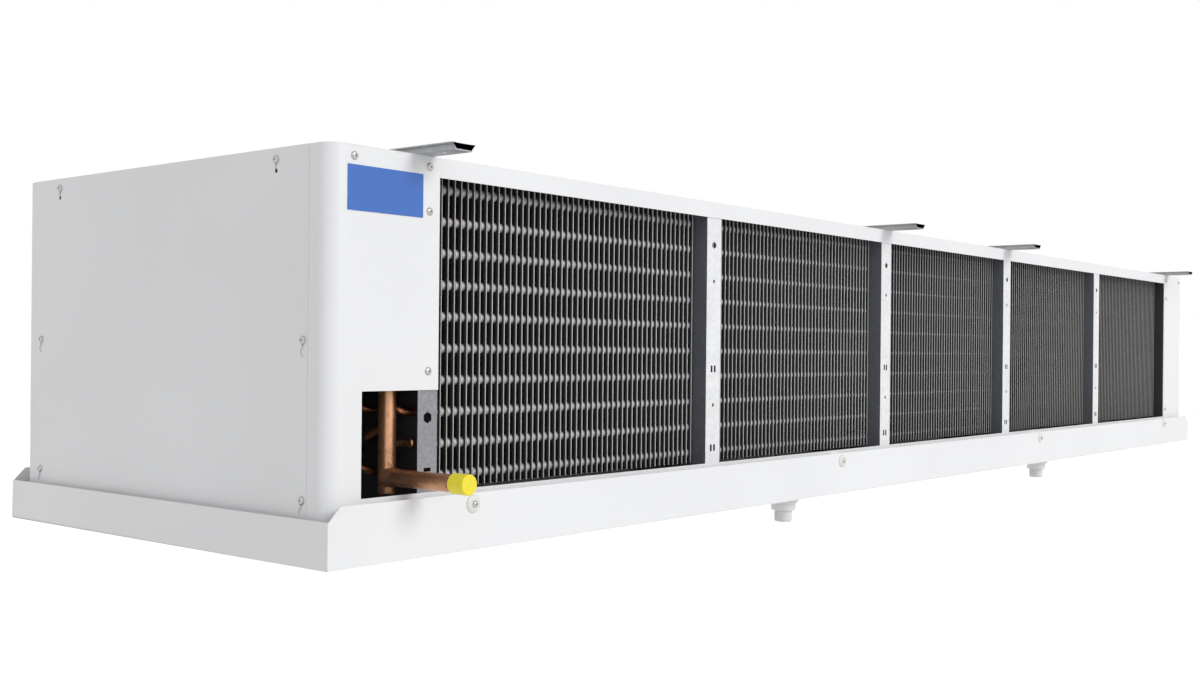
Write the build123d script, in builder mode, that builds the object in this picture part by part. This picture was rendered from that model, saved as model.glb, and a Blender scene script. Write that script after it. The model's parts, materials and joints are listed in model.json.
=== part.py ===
"""Ceiling-hung unit cooler for a walk-in cold room: a long finned coil with five rear fans.

Frame: +X along the cooler, away from the pipe end; +Y from the coil face to the fans;
+Z up. The origin is the centre of the outer hanger holes, on top of the casing.
"""

from build123d import *
import math
import os

# ---- Driving dimensions, in millimetres and degrees ----

# Casing
BAYS = 5
BAY_PITCH = 600.0
END_LENGTH = 178.0
CASE_DEPTH = 694.0
CASE_SHEET = 1.2
TOP_SHEET = 1.5
TRAY_DROP = 44.0
TOP_FLANGE = 25.5
TOP_END_FLANGE = 24.0
TOP_END_FLANGE_SETBACK = 62.0
BOTTOM_RAIL = 34.5
BOTTOM_LIP = 16.0
BEND_RADIUS = 2.5
SEAT_GAP = 0.3
CORNER_RADIUS = 24.0
FRONT_SEAM = 38.0
REAR_SEAM = 14.0
COVER_LAND = 22.0
COVER_GAP = 0.3

# Opening for the pipes in the left corner shell
CUTOUT_START = 52.0
CUTOUT_HEIGHT = 129.5

# Finned coil
ROWS = 10
COLUMNS = 4
ROW_PITCH = 40.0
COLUMN_PITCH = ROW_PITCH * math.sin(math.radians(60))
TUBE_RADIUS = 6.0
TUBE_SIDES = 6
TUBE_END = 3.0
BEND_LEG = 3.0
BEND_CHORDS = 2
FINS_PER_BAY = 50
FIN_SHEET = 0.4
FIN_SETBACK = 27.0
TUBE_SHEET = 1.5
SHEET_FLANGE = 40.0
END_SHEET_FLANGE = 34.0
SHEET_REAR_FLANGE = 20.0
SHEET_BELOW_COIL = 20.0

# Pipework
HEADER_RADIUS = 11.5
HEADER_SIDES = 16
OUTLET_RADIUS = 11.0
HEADER_FROM_COIL = 46.0
HEADER_TOP = 16.0
HEADER_BOTTOM = 2.5
OUTLET_HEIGHT = 18.5
OUTLET_LENGTH = 102.4
PIPE_WALL = 1.0
CAP_WALL = 1.6
CAP_LENGTH = 26.0
CAP_GAP = 0.3
CAPILLARY_RADIUS = 3.0
CAPILLARY_SIDES = 6
CAPILLARY_BEND = 10.0
CAPILLARY_STEP = 9.0
DISTRIBUTOR_RADIUS = 24.0
DISTRIBUTOR_LENGTH = 34.0
DISTRIBUTOR_SETBACK = 82.0
DISTRIBUTOR_FROM_COIL = 66.0
LIQUID_RADIUS = 6.0
LIQUID_BEND = 24.0
LIQUID_RUN = 120.0
LIQUID_DROP = 110.0

# Fans
PANEL_LAND = 21.0
FAN_SIDES = 24
TIP_CLEARANCE = 2.0
NOZZLE_WALL = 1.5
NOZZLE_CLEARANCE = 0.3
NOZZLE_DEPTH = 55.0
NOZZLE_FLANGE = 14.0
HUB_RADIUS = 48.0
HUB_DEPTH = 62.0
HUB_WALL = 3.0
HUB_SIDES = 12
BLADES = 5
BLADE_PITCH = 30.0
BLADE_CHORD = 104.0
BLADE_SHEET = 2.4
SHAFT_RADIUS = 6.0
SHAFT_CLEARANCE = 0.1
MOTOR_RADIUS = 42.0
MOTOR_DEPTH = 18.0
ROTOR_GAP = 1.0
GUARD_DEPTH = 50.0
GUARD_WIRE = 4.0
GUARD_SIDES = 12
GUARD_ARMS = 4

# Drip tray
TRAY_SHEET = 1.5
TRAY_FRONT_OVERHANG = 17.0
TRAY_SIDE_OVERHANG = 12.0
TRAY_REAR_OVERHANG = 26.0
TRAY_FLANGE = 74.5
TRAY_SIDE_FLANGE = 57.0
HINGE_HEIGHT = 66.0
HINGE_PIN_RADIUS = 3.0
HINGE_CLEARANCE = 0.1
HINGE_LUG_WIDTH = 12.0
HINGE_LUG_RADIUS = 5.5
HINGE_EAR_SHEET = 2.0
HINGE_EAR_RADIUS = 6.0
HINGE_SIDE_GAP = 1.0
HINGE_BASE_WIDTH = 40.0
TRAY_FIXING_PITCH = 968.0
TRAY_FIXING_HEIGHT = 60.0
ROSETTE_RADIUS = 12.0
ROSETTE_HEIGHT = 3.5
ROSETTE_SIDES = 12
ROSETTE_TAPER = 50.0
TRAY_SCREW_RADIUS = 3.0
TRAY_SCREW_HEAD = 4.0
TRAY_NUT_RADIUS = 5.0
TRAY_NUT_HEIGHT = 4.0
NOTCH_CLEARANCE = 0.5
BRACKET_REACH = 10.0
BRACKET_WIDTH = 30.0
BRACKET_SHEET = 1.5
BRACKET_BELOW_FLANGE = 3.5

# Drains
DRAIN_SPACING = 1200.0
DRAIN_SETBACK = 38.0
DRAIN_BOSS_RADIUS = 32.0
DRAIN_BODY_RADIUS = 22.25
DRAIN_THREAD_RADIUS = 16.6
DRAIN_BORE_RADIUS = 12.5
DRAIN_BOSS_DEPTH = 13.0
DRAIN_BODY_DEPTH = 12.0
DRAIN_THREAD_DEPTH = 21.0
DRAIN_CHAMFER = 1.5

# Hanger rails
HANGER_SPACING = 3050.0
INNER_HANGER_SPACING = 600.0
INNER_HANGER_CENTRE = 25.0
HANGER_HOLE_REACH = 36.5
HANGER_HOLE_RADIUS = 5.5
RAIL_OVERHANG = 68.0
RAIL_WEB = 29.0
RAIL_HEIGHT = 8.0
RAIL_LIP = 5.5
RAIL_SHEET = 1.5
RAIL_BOLT_INSET = 97.0
RAIL_BOLT_RADIUS = 4.0
RAIL_BOLT_HEAD = 6.5
RAIL_BOLT_HEAD_HEIGHT = 5.0
RAIL_BOLT_CLEARANCE = 0.3
RAIL_BOLT_LENGTH = 12.0

# Fasteners and keyholes
SCREW_HEAD_RADIUS = 5.2
SCREW_HEAD_HEIGHT = 3.0
SCREW_SHANK_RADIUS = 2.0
SCREW_LENGTH = 6.0
SCREW_SIDES = 8
SCREW_TAPER = 35.0
KEYHOLE_RADIUS = 6.0
KEYHOLE_SIDES = 10
KEYHOLE_SLOT_RADIUS = 2.4
COVER_LIFT = 14.0

# Blank plate on the left corner shell
PLATE_LENGTH = 122.0
PLATE_HEIGHT = 55.0
PLATE_THICKNESS = 0.8
PLATE_START = 26.5
PLATE_BELOW_TOP = 24.0

# Holes in the tube sheets' front flanges: shape, height below the top
INNER_HEXAGON_RADIUS = 6.0
END_HEXAGON_RADIUS = 7.6
FLANGE_HOLE_RADIUS = 3.2
FLANGE_SLOT_PITCH = 9.0
FLANGE_SLOT_WIDTH = 5.0
FLANGE_SLOT_HEIGHT = 11.0
FLANGE_WIDE_SLOT = 12.0
INNER_FLANGE_HOLES = [
    ("hexagon", 70.0), ("round", 129.0), ("slots", 272.0), ("round", 331.0), ("slots", 401.0)
]
END_FLANGE_HOLES = [("large hexagon", 331.0), ("wide slot", 397.0)]

# ---- Places that follow from the driving dimensions ----

COIL_LENGTH = BAYS * BAY_PITCH
X_COIL = COIL_LENGTH / 2
X_END = X_COIL + END_LENGTH
Y_FRONT = -CASE_DEPTH / 2
Y_REAR = CASE_DEPTH / 2
COIL_HEIGHT = (ROWS + 0.5) * ROW_PITCH
COIL_DEPTH = COLUMNS * COLUMN_PITCH
Z_OPENING_TOP = -TOP_FLANGE
Z_COIL = Z_OPENING_TOP - ROWS * ROW_PITCH
Z_CASE = Z_COIL - BOTTOM_RAIL
Z_TRAY = Z_CASE - TRAY_DROP
Y_FINS = Y_FRONT + FIN_SETBACK
Y_COLUMN = Y_FINS + COLUMN_PITCH / 2
Y_COIL_REAR = Y_FINS + COIL_DEPTH
WEBS = [-X_COIL + BAY_PITCH * bay for bay in range(BAYS + 1)]
BAY_CENTRES = [web + BAY_PITCH / 2 for web in WEBS[:-1]]
X_TUBE_END = X_COIL + TUBE_SHEET / 2 + TUBE_END
CIRCUITS = ROWS // 2
Z_FAN = Z_OPENING_TOP - ROWS * ROW_PITCH / 2
PANEL_HOLE_RADIUS = min(ROWS * ROW_PITCH, BAY_PITCH) / 2 - PANEL_LAND
NOZZLE_RADIUS = PANEL_HOLE_RADIUS - NOZZLE_WALL - NOZZLE_CLEARANCE
FAN_RADIUS = NOZZLE_RADIUS * math.cos(math.pi / FAN_SIDES) - TIP_CLEARANCE
TRAY_FIXINGS = [TRAY_FIXING_PITCH * step for step in (-1.5, -0.5, 0.5, 1.5)]
Z_TRAY_FIXING = Z_TRAY + TRAY_FIXING_HEIGHT
Y_TRAY_FRONT = Y_FRONT - TRAY_FRONT_OVERHANG
Y_TRAY_REAR = Y_REAR + TRAY_REAR_OVERHANG
Y_HINGE = Y_REAR + TRAY_REAR_OVERHANG / 2
Z_HINGE = Z_TRAY + HINGE_HEIGHT
HANGER_HOLE_SPACING = CASE_DEPTH + 2 * HANGER_HOLE_REACH
RAIL_BOLT_SPACING = CASE_DEPTH - 2 * RAIL_BOLT_INSET

RAIL_PLACES = {
    "hanger_rail_1": -HANGER_SPACING / 2,
    "hanger_rail_2": INNER_HANGER_CENTRE - INNER_HANGER_SPACING / 2,
    "hanger_rail_3": INNER_HANGER_CENTRE + INNER_HANGER_SPACING / 2,
    "hanger_rail_4": HANGER_SPACING / 2,
}
rail_bolt_places = [
    (x, side * RAIL_BOLT_SPACING / 2) for x in RAIL_PLACES.values() for side in (-1, 1)
]

# Screws that hold the corner shells: distance in from the end, height below the top
LEFT_SHELL_SCREWS = [(37.0, 13.5), (160.0, 13.5), (160.0, 70.0), (160.0, 272.0)]
RIGHT_SHELL_SCREWS = [(37.0, 17.0), (160.0, 17.0), (160.0, 71.0), (160.0, 403.0)]
# Screws of a side cover: depth behind the casing's front, height below the top
COVER_TOP_SCREWS = [(102.0, 14.0), (CASE_DEPTH - 82.0, 14.0)]
COVER_KEYHOLE_SCREWS = [
    (depth, below) for below in (235.0, 427.0) for depth in (47.0, CASE_DEPTH - 32.0)
]

os.makedirs("parts", exist_ok=True)


def save(part, label):
    """Label a finished part and write its STEP file."""
    part.label = label
    export_step(part, f"parts/{label}.step")


def folded_sheet(plane, points, radius, thickness, length):
    """Extrude a folded sheet: its outer face follows the points, its metal lies to the left."""
    with BuildPart() as sheet:
        with BuildSketch(plane):
            with BuildLine():
                if radius > 0:
                    FilletPolyline(*points, radius=radius)
                else:
                    Polyline(*points)
                offset(amount=thickness, side=Side.LEFT)
            make_face()
        extrude(amount=length)
    return sheet.part


def tube_centre(column, row):
    """Give the Y and Z of a coil tube; every second column stands half a pitch higher."""
    stagger = ROW_PITCH / 2 * (column % 2)
    return Y_COLUMN + COLUMN_PITCH * column, Z_COIL + ROW_PITCH * (row + 0.5) + stagger


def dome_screw(seat, head_radius, head_height, shank_radius, shank_length):
    """Make a screw with a tapered head on the seat and its shank behind it."""
    with BuildPart() as screw:
        with BuildSketch(seat):
            RegularPolygon(head_radius, SCREW_SIDES)
        extrude(amount=head_height, taper=SCREW_TAPER)
        with BuildSketch(seat):
            RegularPolygon(shank_radius, TUBE_SIDES)
        extrude(amount=-shank_length)
    return screw.part


def bent_tube(points, radius, sides):
    """Sweep a tube of many flat sides along straight runs that meet in mitres."""
    start, following = Vector(*points[0]), Vector(*points[1])
    with BuildPart() as tube:
        with BuildLine() as path:
            Polyline(*points)
        with BuildSketch(Plane(origin=start, z_dir=following - start)):
            RegularPolygon(radius, sides)
        sweep(path=path.wire(), transition=Transition.RIGHT)
    return tube.part


def eased_corners(points, ease):
    """Cut each corner of a route by two points, one on each side of it."""
    route = [Vector(*point) for point in points]
    eased = [route[0]]
    for before, corner_point, after in zip(route, route[1:], route[2:]):
        eased.append(corner_point + (before - corner_point).normalized() * ease)
        eased.append(corner_point + (after - corner_point).normalized() * ease)
    return eased + [route[-1]]


# ---- Casing ----

# The two corner shells are folded the same way; only the left one has the pipe opening.
shell_height = -TOP_SHEET - Z_CASE
joggle = CASE_SHEET + COVER_GAP


def corner_shell_points(end, y_face, inward, seam):
    """List the plan of a corner: front or rear face, corner, side face, stepped-in land."""
    return [
        (end * X_COIL, y_face),
        (end * X_END, y_face),
        (end * X_END, y_face + inward * seam),
        (end * (X_END - joggle), y_face + inward * seam),
        (end * (X_END - joggle), y_face + inward * (seam + COVER_LAND)),
    ]


def corner(end, y_face, inward, seam, corner_radius):
    """Fold one corner of the casing, from the lower edge up to the top sheet."""
    fold = min(BEND_RADIUS, joggle / 2.5)
    points = corner_shell_points(end, y_face, inward, seam)
    side = Side.RIGHT if end * inward < 0 else Side.LEFT
    with BuildPart() as folded:
        with BuildSketch(Plane.XY.offset(Z_CASE)):
            with BuildLine():
                FilletPolyline(*points, radius=[corner_radius, fold, fold])
                offset(amount=CASE_SHEET, side=side)
            make_face()
        extrude(amount=shell_height)
    return folded.part


with BuildPart() as left_corner_shell:
    add(corner(-1, Y_FRONT, 1, FRONT_SEAM, CORNER_RADIUS))
    with BuildSketch(Plane.XZ.offset(-Y_FRONT)):
        with Locations((-X_END + CUTOUT_START, Z_COIL)):
            Rectangle(END_LENGTH - CUTOUT_START, CUTOUT_HEIGHT, align=(Align.MIN, Align.MIN))
    extrude(amount=2 * CASE_SHEET, both=True, mode=Mode.SUBTRACT)
save(left_corner_shell.part, "left_corner_shell")

save(corner(1, Y_FRONT, 1, FRONT_SEAM, CORNER_RADIUS), "right_corner_shell")
save(corner(-1, Y_REAR, -1, REAR_SEAM, BEND_RADIUS), "left_rear_corner")
save(corner(1, Y_REAR, -1, REAR_SEAM, BEND_RADIUS), "right_rear_corner")

# The top cover folds down at the front and the rear between the corner shells, and at its
# ends. Its flanges are solids of their own that meet the sheet along flat faces.
with BuildPart() as top_sheet:
    with BuildSketch(Plane.XY.offset(-TOP_SHEET)):
        outline = Rectangle(2 * (X_END - joggle), CASE_DEPTH)
        fillet(outline.vertices().group_by(Axis.Y)[0], CORNER_RADIUS - joggle)
        with Locations(*rail_bolt_places):
            RegularPolygon(RAIL_BOLT_RADIUS + RAIL_BOLT_CLEARANCE, TUBE_SIDES, mode=Mode.SUBTRACT)
    extrude(amount=TOP_SHEET)
long_flanges = [
    Pos(0, side * (CASE_DEPTH - TOP_SHEET) / 2, -TOP_SHEET)
    * Box(
        COIL_LENGTH, TOP_SHEET, TOP_FLANGE - TOP_SHEET,
        align=(Align.CENTER, Align.CENTER, Align.MAX),
    )
    for side in (-1, 1)
]
end_flanges = [
    Pos(end * (X_END - joggle - CASE_SHEET / 2), 0, -TOP_SHEET)
    * Box(
        CASE_SHEET, CASE_DEPTH - 2 * TOP_END_FLANGE_SETBACK, TOP_END_FLANGE,
        align=(Align.CENTER, Align.CENTER, Align.MAX),
    )
    for end in (-1, 1)
]
save(Compound([top_sheet.part.solid()] + long_flanges + end_flanges), "top_cover")

# The rail under the coil is an angle that stands behind the tray's front flange.
save(folded_sheet(
    Plane.YZ.offset(-X_COIL),
    [(Y_FRONT, Z_COIL), (Y_FRONT, Z_CASE), (Y_FRONT + BOTTOM_LIP, Z_CASE)],
    BEND_RADIUS, CASE_SHEET, COIL_LENGTH,
), "front_bottom_rail")

# The rear panel carries the fans.
with BuildPart() as fan_panel:
    with BuildSketch(Plane.XZ.offset(-Y_REAR)):
        with Locations((0, Z_CASE)):
            Rectangle(COIL_LENGTH, Z_OPENING_TOP - Z_CASE, align=(Align.CENTER, Align.MIN))
        with Locations(*[(x, Z_FAN) for x in BAY_CENTRES]):
            RegularPolygon(PANEL_HOLE_RADIUS, FAN_SIDES, mode=Mode.SUBTRACT)
    extrude(amount=CASE_SHEET)
save(fan_panel.part, "fan_panel")

# Upright baffles stand between the coil and the fans, one behind each tube sheet.
with BuildPart() as air_baffles:
    for web in WEBS:
        with BuildSketch(Plane.YZ.offset(web - TUBE_SHEET / 2)):
            with Locations((Y_COIL_REAR + TUBE_SHEET, Z_CASE)):
                Rectangle(
                    Y_REAR - TOP_SHEET - SEAT_GAP - Y_COIL_REAR - TUBE_SHEET,
                    -TOP_SHEET - Z_CASE,
                    align=(Align.MIN, Align.MIN),
                )
        extrude(amount=CASE_SHEET)
save(air_baffles.part, "air_baffles")


# The side covers hang on screws in keyholes and lift off upwards.
def side_cover(end):
    """Make a side cover with two slots at the top and four keyholes below."""
    y_first = Y_FRONT + FRONT_SEAM + COVER_GAP
    y_last = Y_REAR - REAR_SEAM - COVER_GAP
    with BuildPart() as cover:
        with BuildSketch(Plane.YZ.offset(end * X_END)):
            with Locations(((y_first + y_last) / 2, Z_CASE)):
                Rectangle(y_last - y_first, -Z_CASE, align=(Align.CENTER, Align.MIN))
            for depth, below in COVER_TOP_SCREWS + COVER_KEYHOLE_SCREWS:
                with Locations((Y_FRONT + depth, -below - COVER_LIFT / 2)):
                    Rectangle(
                        2 * KEYHOLE_SLOT_RADIUS, COVER_LIFT + 2 * KEYHOLE_SLOT_RADIUS,
                        mode=Mode.SUBTRACT,
                    )
            for depth, below in COVER_KEYHOLE_SCREWS:
                with Locations((Y_FRONT + depth, -below - COVER_LIFT)):
                    RegularPolygon(KEYHOLE_RADIUS, KEYHOLE_SIDES, mode=Mode.SUBTRACT)
        extrude(amount=-end * CASE_SHEET)
    return cover.part


save(side_cover(-1), "left_side_cover")
save(side_cover(1), "right_side_cover")


def cover_screws(end):
    """Make the six dome screws that hold one side cover."""
    with BuildPart() as screws:
        for depth, below in COVER_TOP_SCREWS + COVER_KEYHOLE_SCREWS:
            seat = Plane(
                origin=(end * (X_END + COVER_GAP), Y_FRONT + depth, -below),
                x_dir=(0, 1, 0), z_dir=(end, 0, 0),
            )
            add(dome_screw(
                seat, SCREW_HEAD_RADIUS, SCREW_HEAD_HEIGHT, SCREW_SHANK_RADIUS, SCREW_LENGTH
            ))
    return screws.part


save(cover_screws(-1), "left_cover_screws")
save(cover_screws(1), "right_cover_screws")

with BuildPart() as shell_screws:
    for end, places in ((-1, LEFT_SHELL_SCREWS), (1, RIGHT_SHELL_SCREWS)):
        for inset, below in places:
            front = Plane(
                origin=(end * (X_END - inset), Y_FRONT, -below),
                x_dir=(1, 0, 0), z_dir=(0, -1, 0),
            )
            add(dome_screw(
                front, SCREW_HEAD_RADIUS, SCREW_HEAD_HEIGHT, SCREW_SHANK_RADIUS, SCREW_LENGTH
            ))
save(shell_screws.part, "shell_screws")

with BuildPart() as blank_plate:
    with BuildSketch(Plane.XZ.offset(-Y_FRONT)):
        with Locations((-X_END + PLATE_START, -PLATE_BELOW_TOP)):
            Rectangle(PLATE_LENGTH, PLATE_HEIGHT, align=(Align.MIN, Align.MAX))
    extrude(amount=PLATE_THICKNESS)
save(blank_plate.part, "blank_plate")

# ---- Finned coil ----


def tube_sheet(web, flange, flange_holes):
    """Fold a tube sheet: a web across the coil, a front flange and a rear flange.

    A negative flange length turns both flanges towards the pipe end.
    """
    way = math.copysign(1, flange)
    x_outer = web - way * TUBE_SHEET / 2
    y_first = Y_FRONT + TOP_SHEET + SEAT_GAP
    z_low = Z_COIL - SHEET_BELOW_COIL
    with BuildPart() as sheet:
        with BuildSketch(Plane.XY.offset(z_low)):
            with BuildLine():
                Polyline(
                    (x_outer + flange, y_first),
                    (x_outer, y_first),
                    (x_outer, Y_COIL_REAR + TUBE_SHEET),
                    (x_outer + way * SHEET_REAR_FLANGE, Y_COIL_REAR + TUBE_SHEET),
                )
                offset(amount=TUBE_SHEET, side=Side.RIGHT if way > 0 else Side.LEFT)
            make_face()
        extrude(amount=-TOP_SHEET - z_low)
        with BuildSketch(Plane.XZ.offset(-y_first - TUBE_SHEET / 2)):
            for shape, below in flange_holes:
                with Locations((x_outer + flange / 2, -below)):
                    if shape == "hexagon":
                        RegularPolygon(INNER_HEXAGON_RADIUS, 6, rotation=30)
                    elif shape == "large hexagon":
                        RegularPolygon(END_HEXAGON_RADIUS, 6, rotation=30)
                    elif shape == "round":
                        RegularPolygon(FLANGE_HOLE_RADIUS, TUBE_SIDES)
                    elif shape == "wide slot":
                        Rectangle(FLANGE_WIDE_SLOT, FLANGE_SLOT_WIDTH)
                    else:
                        with GridLocations(FLANGE_SLOT_PITCH, 0, 2, 1):
                            Rectangle(FLANGE_SLOT_WIDTH, FLANGE_SLOT_HEIGHT)
        extrude(amount=TUBE_SHEET, both=True, mode=Mode.SUBTRACT)
    return sheet.part


save(tube_sheet(WEBS[0], -END_SHEET_FLANGE, END_FLANGE_HOLES), "left_end_sheet")
for number, web in enumerate(WEBS[1:-1], start=1):
    save(tube_sheet(web, SHEET_FLANGE, INNER_FLANGE_HOLES), f"tube_sheet_{number}")
save(tube_sheet(WEBS[-1], END_SHEET_FLANGE, END_FLANGE_HOLES), "right_end_sheet")

fin_pitch = BAY_PITCH / FINS_PER_BAY
for number, web in enumerate(WEBS[:-1], start=1):
    with BuildPart() as fin_pack:
        fin_places = [
            (web + fin_pitch * (fin + 0.5), Y_FINS, Z_COIL) for fin in range(FINS_PER_BAY)
        ]
        with Locations(*fin_places):
            Box(FIN_SHEET, COIL_DEPTH, COIL_HEIGHT, align=(Align.CENTER, Align.MIN, Align.MIN))
    save(fin_pack.part, f"fin_pack_{number}")

all_tubes = [(column, row) for column in range(COLUMNS) for row in range(ROWS)]
with BuildPart() as coil_tubes:
    with BuildSketch(Plane.YZ.offset(-X_TUBE_END)):
        with Locations(*[tube_centre(column, row) for column, row in all_tubes]):
            RegularPolygon(TUBE_RADIUS, TUBE_SIDES)
    extrude(amount=2 * X_TUBE_END)
save(coil_tubes.part, "coil_tubes")


def return_bend(end, first, second):
    """Join two neighbouring tubes with a U-bend on the left (-1) or right (+1) of the coil."""
    first, second = Vector(0, *first), Vector(0, *second)
    middle, reach = (first + second) / 2, (first - second) / 2
    points = [Vector(end * X_TUBE_END, first.Y, first.Z)]
    for chord in range(BEND_CHORDS + 1):
        turn = math.pi * chord / BEND_CHORDS
        x_point = end * (X_TUBE_END + BEND_LEG + reach.length * math.sin(turn))
        points.append(middle + reach * math.cos(turn) + Vector(x_point, 0, 0))
    points.append(Vector(end * X_TUBE_END, second.Y, second.Z))
    return bent_tube([tuple(point) for point in points], TUBE_RADIUS, TUBE_SIDES)


# Each circuit takes two rows. It enters in the last column and leaves in the first:
# on the right it turns within a column, on the left it steps to the next column.
bend_ends = []
for circuit in range(CIRCUITS):
    lower, upper = 2 * circuit, 2 * circuit + 1
    for column in range(COLUMNS):
        bend_ends.append((1, (column, lower), (column, upper)))
    for column in range(COLUMNS - 1):
        row = lower if column % 2 == 0 else upper
        bend_ends.append((-1, (column, row), (column + 1, row)))

bends = [
    return_bend(end, tube_centre(*first), tube_centre(*second)) for end, first, second in bend_ends
]
save(Compound([bend.solid() for bend in bends]), "return_bends")

# ---- Suction header, distributor and liquid line ----

x_header = -X_COIL - HEADER_FROM_COIL
z_outlet = Z_COIL + OUTLET_HEIGHT
y_outlet = Y_COLUMN - HEADER_RADIUS - PIPE_WALL
outlet_rows = [2 * circuit + 1 for circuit in range(CIRCUITS)]
z_header_top = tube_centre(0, outlet_rows[-1])[1] + HEADER_TOP
z_header_bottom = Z_COIL - HEADER_BOTTOM
y_outlet_end = Y_FRONT - OUTLET_LENGTH

with BuildPart() as suction_header:
    with BuildSketch(Plane.XY.offset(z_header_bottom)):
        with Locations((x_header, Y_COLUMN)):
            RegularPolygon(HEADER_RADIUS, HEADER_SIDES)
    extrude(amount=z_header_top - z_header_bottom)
    with BuildSketch(Plane.YZ.offset(x_header)):
        with Locations(*[tube_centre(0, row) for row in outlet_rows]):
            RegularPolygon(TUBE_RADIUS, TUBE_SIDES)
    extrude(amount=-X_TUBE_END - x_header)
    with BuildSketch(Plane.XZ.offset(-Y_COLUMN)):
        with Locations((x_header, z_outlet)):
            RegularPolygon(OUTLET_RADIUS, HEADER_SIDES)
    extrude(amount=Y_COLUMN - y_outlet_end)
    with BuildSketch(Plane.XZ.offset(-y_outlet)):
        with Locations((x_header, z_outlet)):
            RegularPolygon(OUTLET_RADIUS - PIPE_WALL, HEADER_SIDES)
    extrude(amount=y_outlet - y_outlet_end, mode=Mode.SUBTRACT)
save(suction_header.part, "suction_header")

with BuildPart() as suction_cap:
    with BuildSketch(Plane.XZ.offset(-y_outlet_end + CAP_WALL)):
        with Locations((x_header, z_outlet)):
            Circle(OUTLET_RADIUS + CAP_GAP + CAP_WALL)
    extrude(amount=-CAP_LENGTH)
    with BuildSketch(Plane.XZ.offset(-y_outlet_end)):
        with Locations((x_header, z_outlet)):
            Circle(OUTLET_RADIUS + CAP_GAP)
    extrude(amount=-CAP_LENGTH, mode=Mode.SUBTRACT)
save(suction_cap.part, "suction_cap")

x_distributor = -X_COIL - DISTRIBUTOR_FROM_COIL
y_inlets = tube_centre(COLUMNS - 1, 0)[0]
y_distributor = y_inlets + DISTRIBUTOR_SETBACK
z_distributor = Z_FAN
inlet_rows = [2 * circuit + 1 for circuit in range(CIRCUITS)]


def capillary(row, step):
    """Make one feed tube: forward from the distributor, up or down, then into the coil.

    The step counts pitches from the distributor's centre line; a tube that climbs or
    drops further starts further from the coil, so that none crosses another.
    """
    z_inlet = tube_centre(COLUMNS - 1, row)[1]
    x_run = x_distributor + step * CAPILLARY_STEP
    ring = 2 * CAPILLARY_STEP
    rise = math.sqrt(ring**2 - (step * CAPILLARY_STEP) ** 2)
    z_run = z_distributor + math.copysign(rise, z_inlet - z_distributor)
    route = [
        (x_run, y_distributor, z_run),
        (x_run, y_inlets, z_run),
        (x_run, y_inlets, z_inlet),
        (-X_TUBE_END, y_inlets, z_inlet),
    ]
    points = [tuple(point) for point in eased_corners(route, CAPILLARY_BEND)]
    return bent_tube(points, CAPILLARY_RADIUS, CAPILLARY_SIDES)


capillary_steps = [1, 2, 0, -1, -2]
capillaries = [capillary(row, step) for row, step in zip(inlet_rows, capillary_steps)]
save(Compound([tube.solid() for tube in capillaries]), "feed_capillaries")

with BuildPart() as distributor:
    with BuildSketch(Plane.XZ.offset(-y_distributor)):
        with Locations((x_distributor, z_distributor)):
            Circle(DISTRIBUTOR_RADIUS)
    extrude(amount=-DISTRIBUTOR_LENGTH / 3)
    with BuildSketch(Plane.XZ.offset(-y_distributor - DISTRIBUTOR_LENGTH / 3)):
        with Locations((x_distributor, z_distributor)):
            Circle(DISTRIBUTOR_RADIUS)
    with BuildSketch(Plane.XZ.offset(-y_distributor - DISTRIBUTOR_LENGTH)):
        with Locations((x_distributor, z_distributor)):
            Circle(LIQUID_RADIUS + PIPE_WALL)
    loft()
save(distributor.part, "distributor")

y_liquid = y_distributor + DISTRIBUTOR_LENGTH
liquid_route = eased_corners(
    [
        (x_distributor, y_liquid, z_distributor),
        (x_distributor, y_liquid + LIQUID_RUN, z_distributor),
        (x_distributor, y_liquid + LIQUID_RUN, z_distributor - LIQUID_DROP),
    ],
    LIQUID_BEND,
)
save(bent_tube([tuple(point) for point in liquid_route], LIQUID_RADIUS, TUBE_SIDES), "liquid_line")

# ---- Fans ----

fan_places = [(x, Z_FAN) for x in BAY_CENTRES]
y_guard = Y_REAR + GUARD_DEPTH
guard_radius = NOZZLE_RADIUS + NOZZLE_FLANGE - GUARD_WIRE

with BuildPart() as fan_nozzles:
    with BuildSketch(Plane.XZ.offset(-Y_REAR)):
        with Locations(*fan_places):
            RegularPolygon(NOZZLE_RADIUS + NOZZLE_FLANGE, FAN_SIDES)
    extrude(amount=-NOZZLE_WALL)
    with BuildSketch(Plane.XZ.offset(-Y_REAR)):
        with Locations(*fan_places):
            RegularPolygon(NOZZLE_RADIUS + NOZZLE_WALL, FAN_SIDES)
    extrude(amount=NOZZLE_DEPTH)
    with BuildSketch(Plane.XZ.offset(-Y_REAR - NOZZLE_WALL)):
        with Locations(*fan_places):
            RegularPolygon(NOZZLE_RADIUS, FAN_SIDES)
    extrude(amount=NOZZLE_DEPTH + NOZZLE_WALL, mode=Mode.SUBTRACT)
save(fan_nozzles.part, "fan_nozzles")

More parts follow.
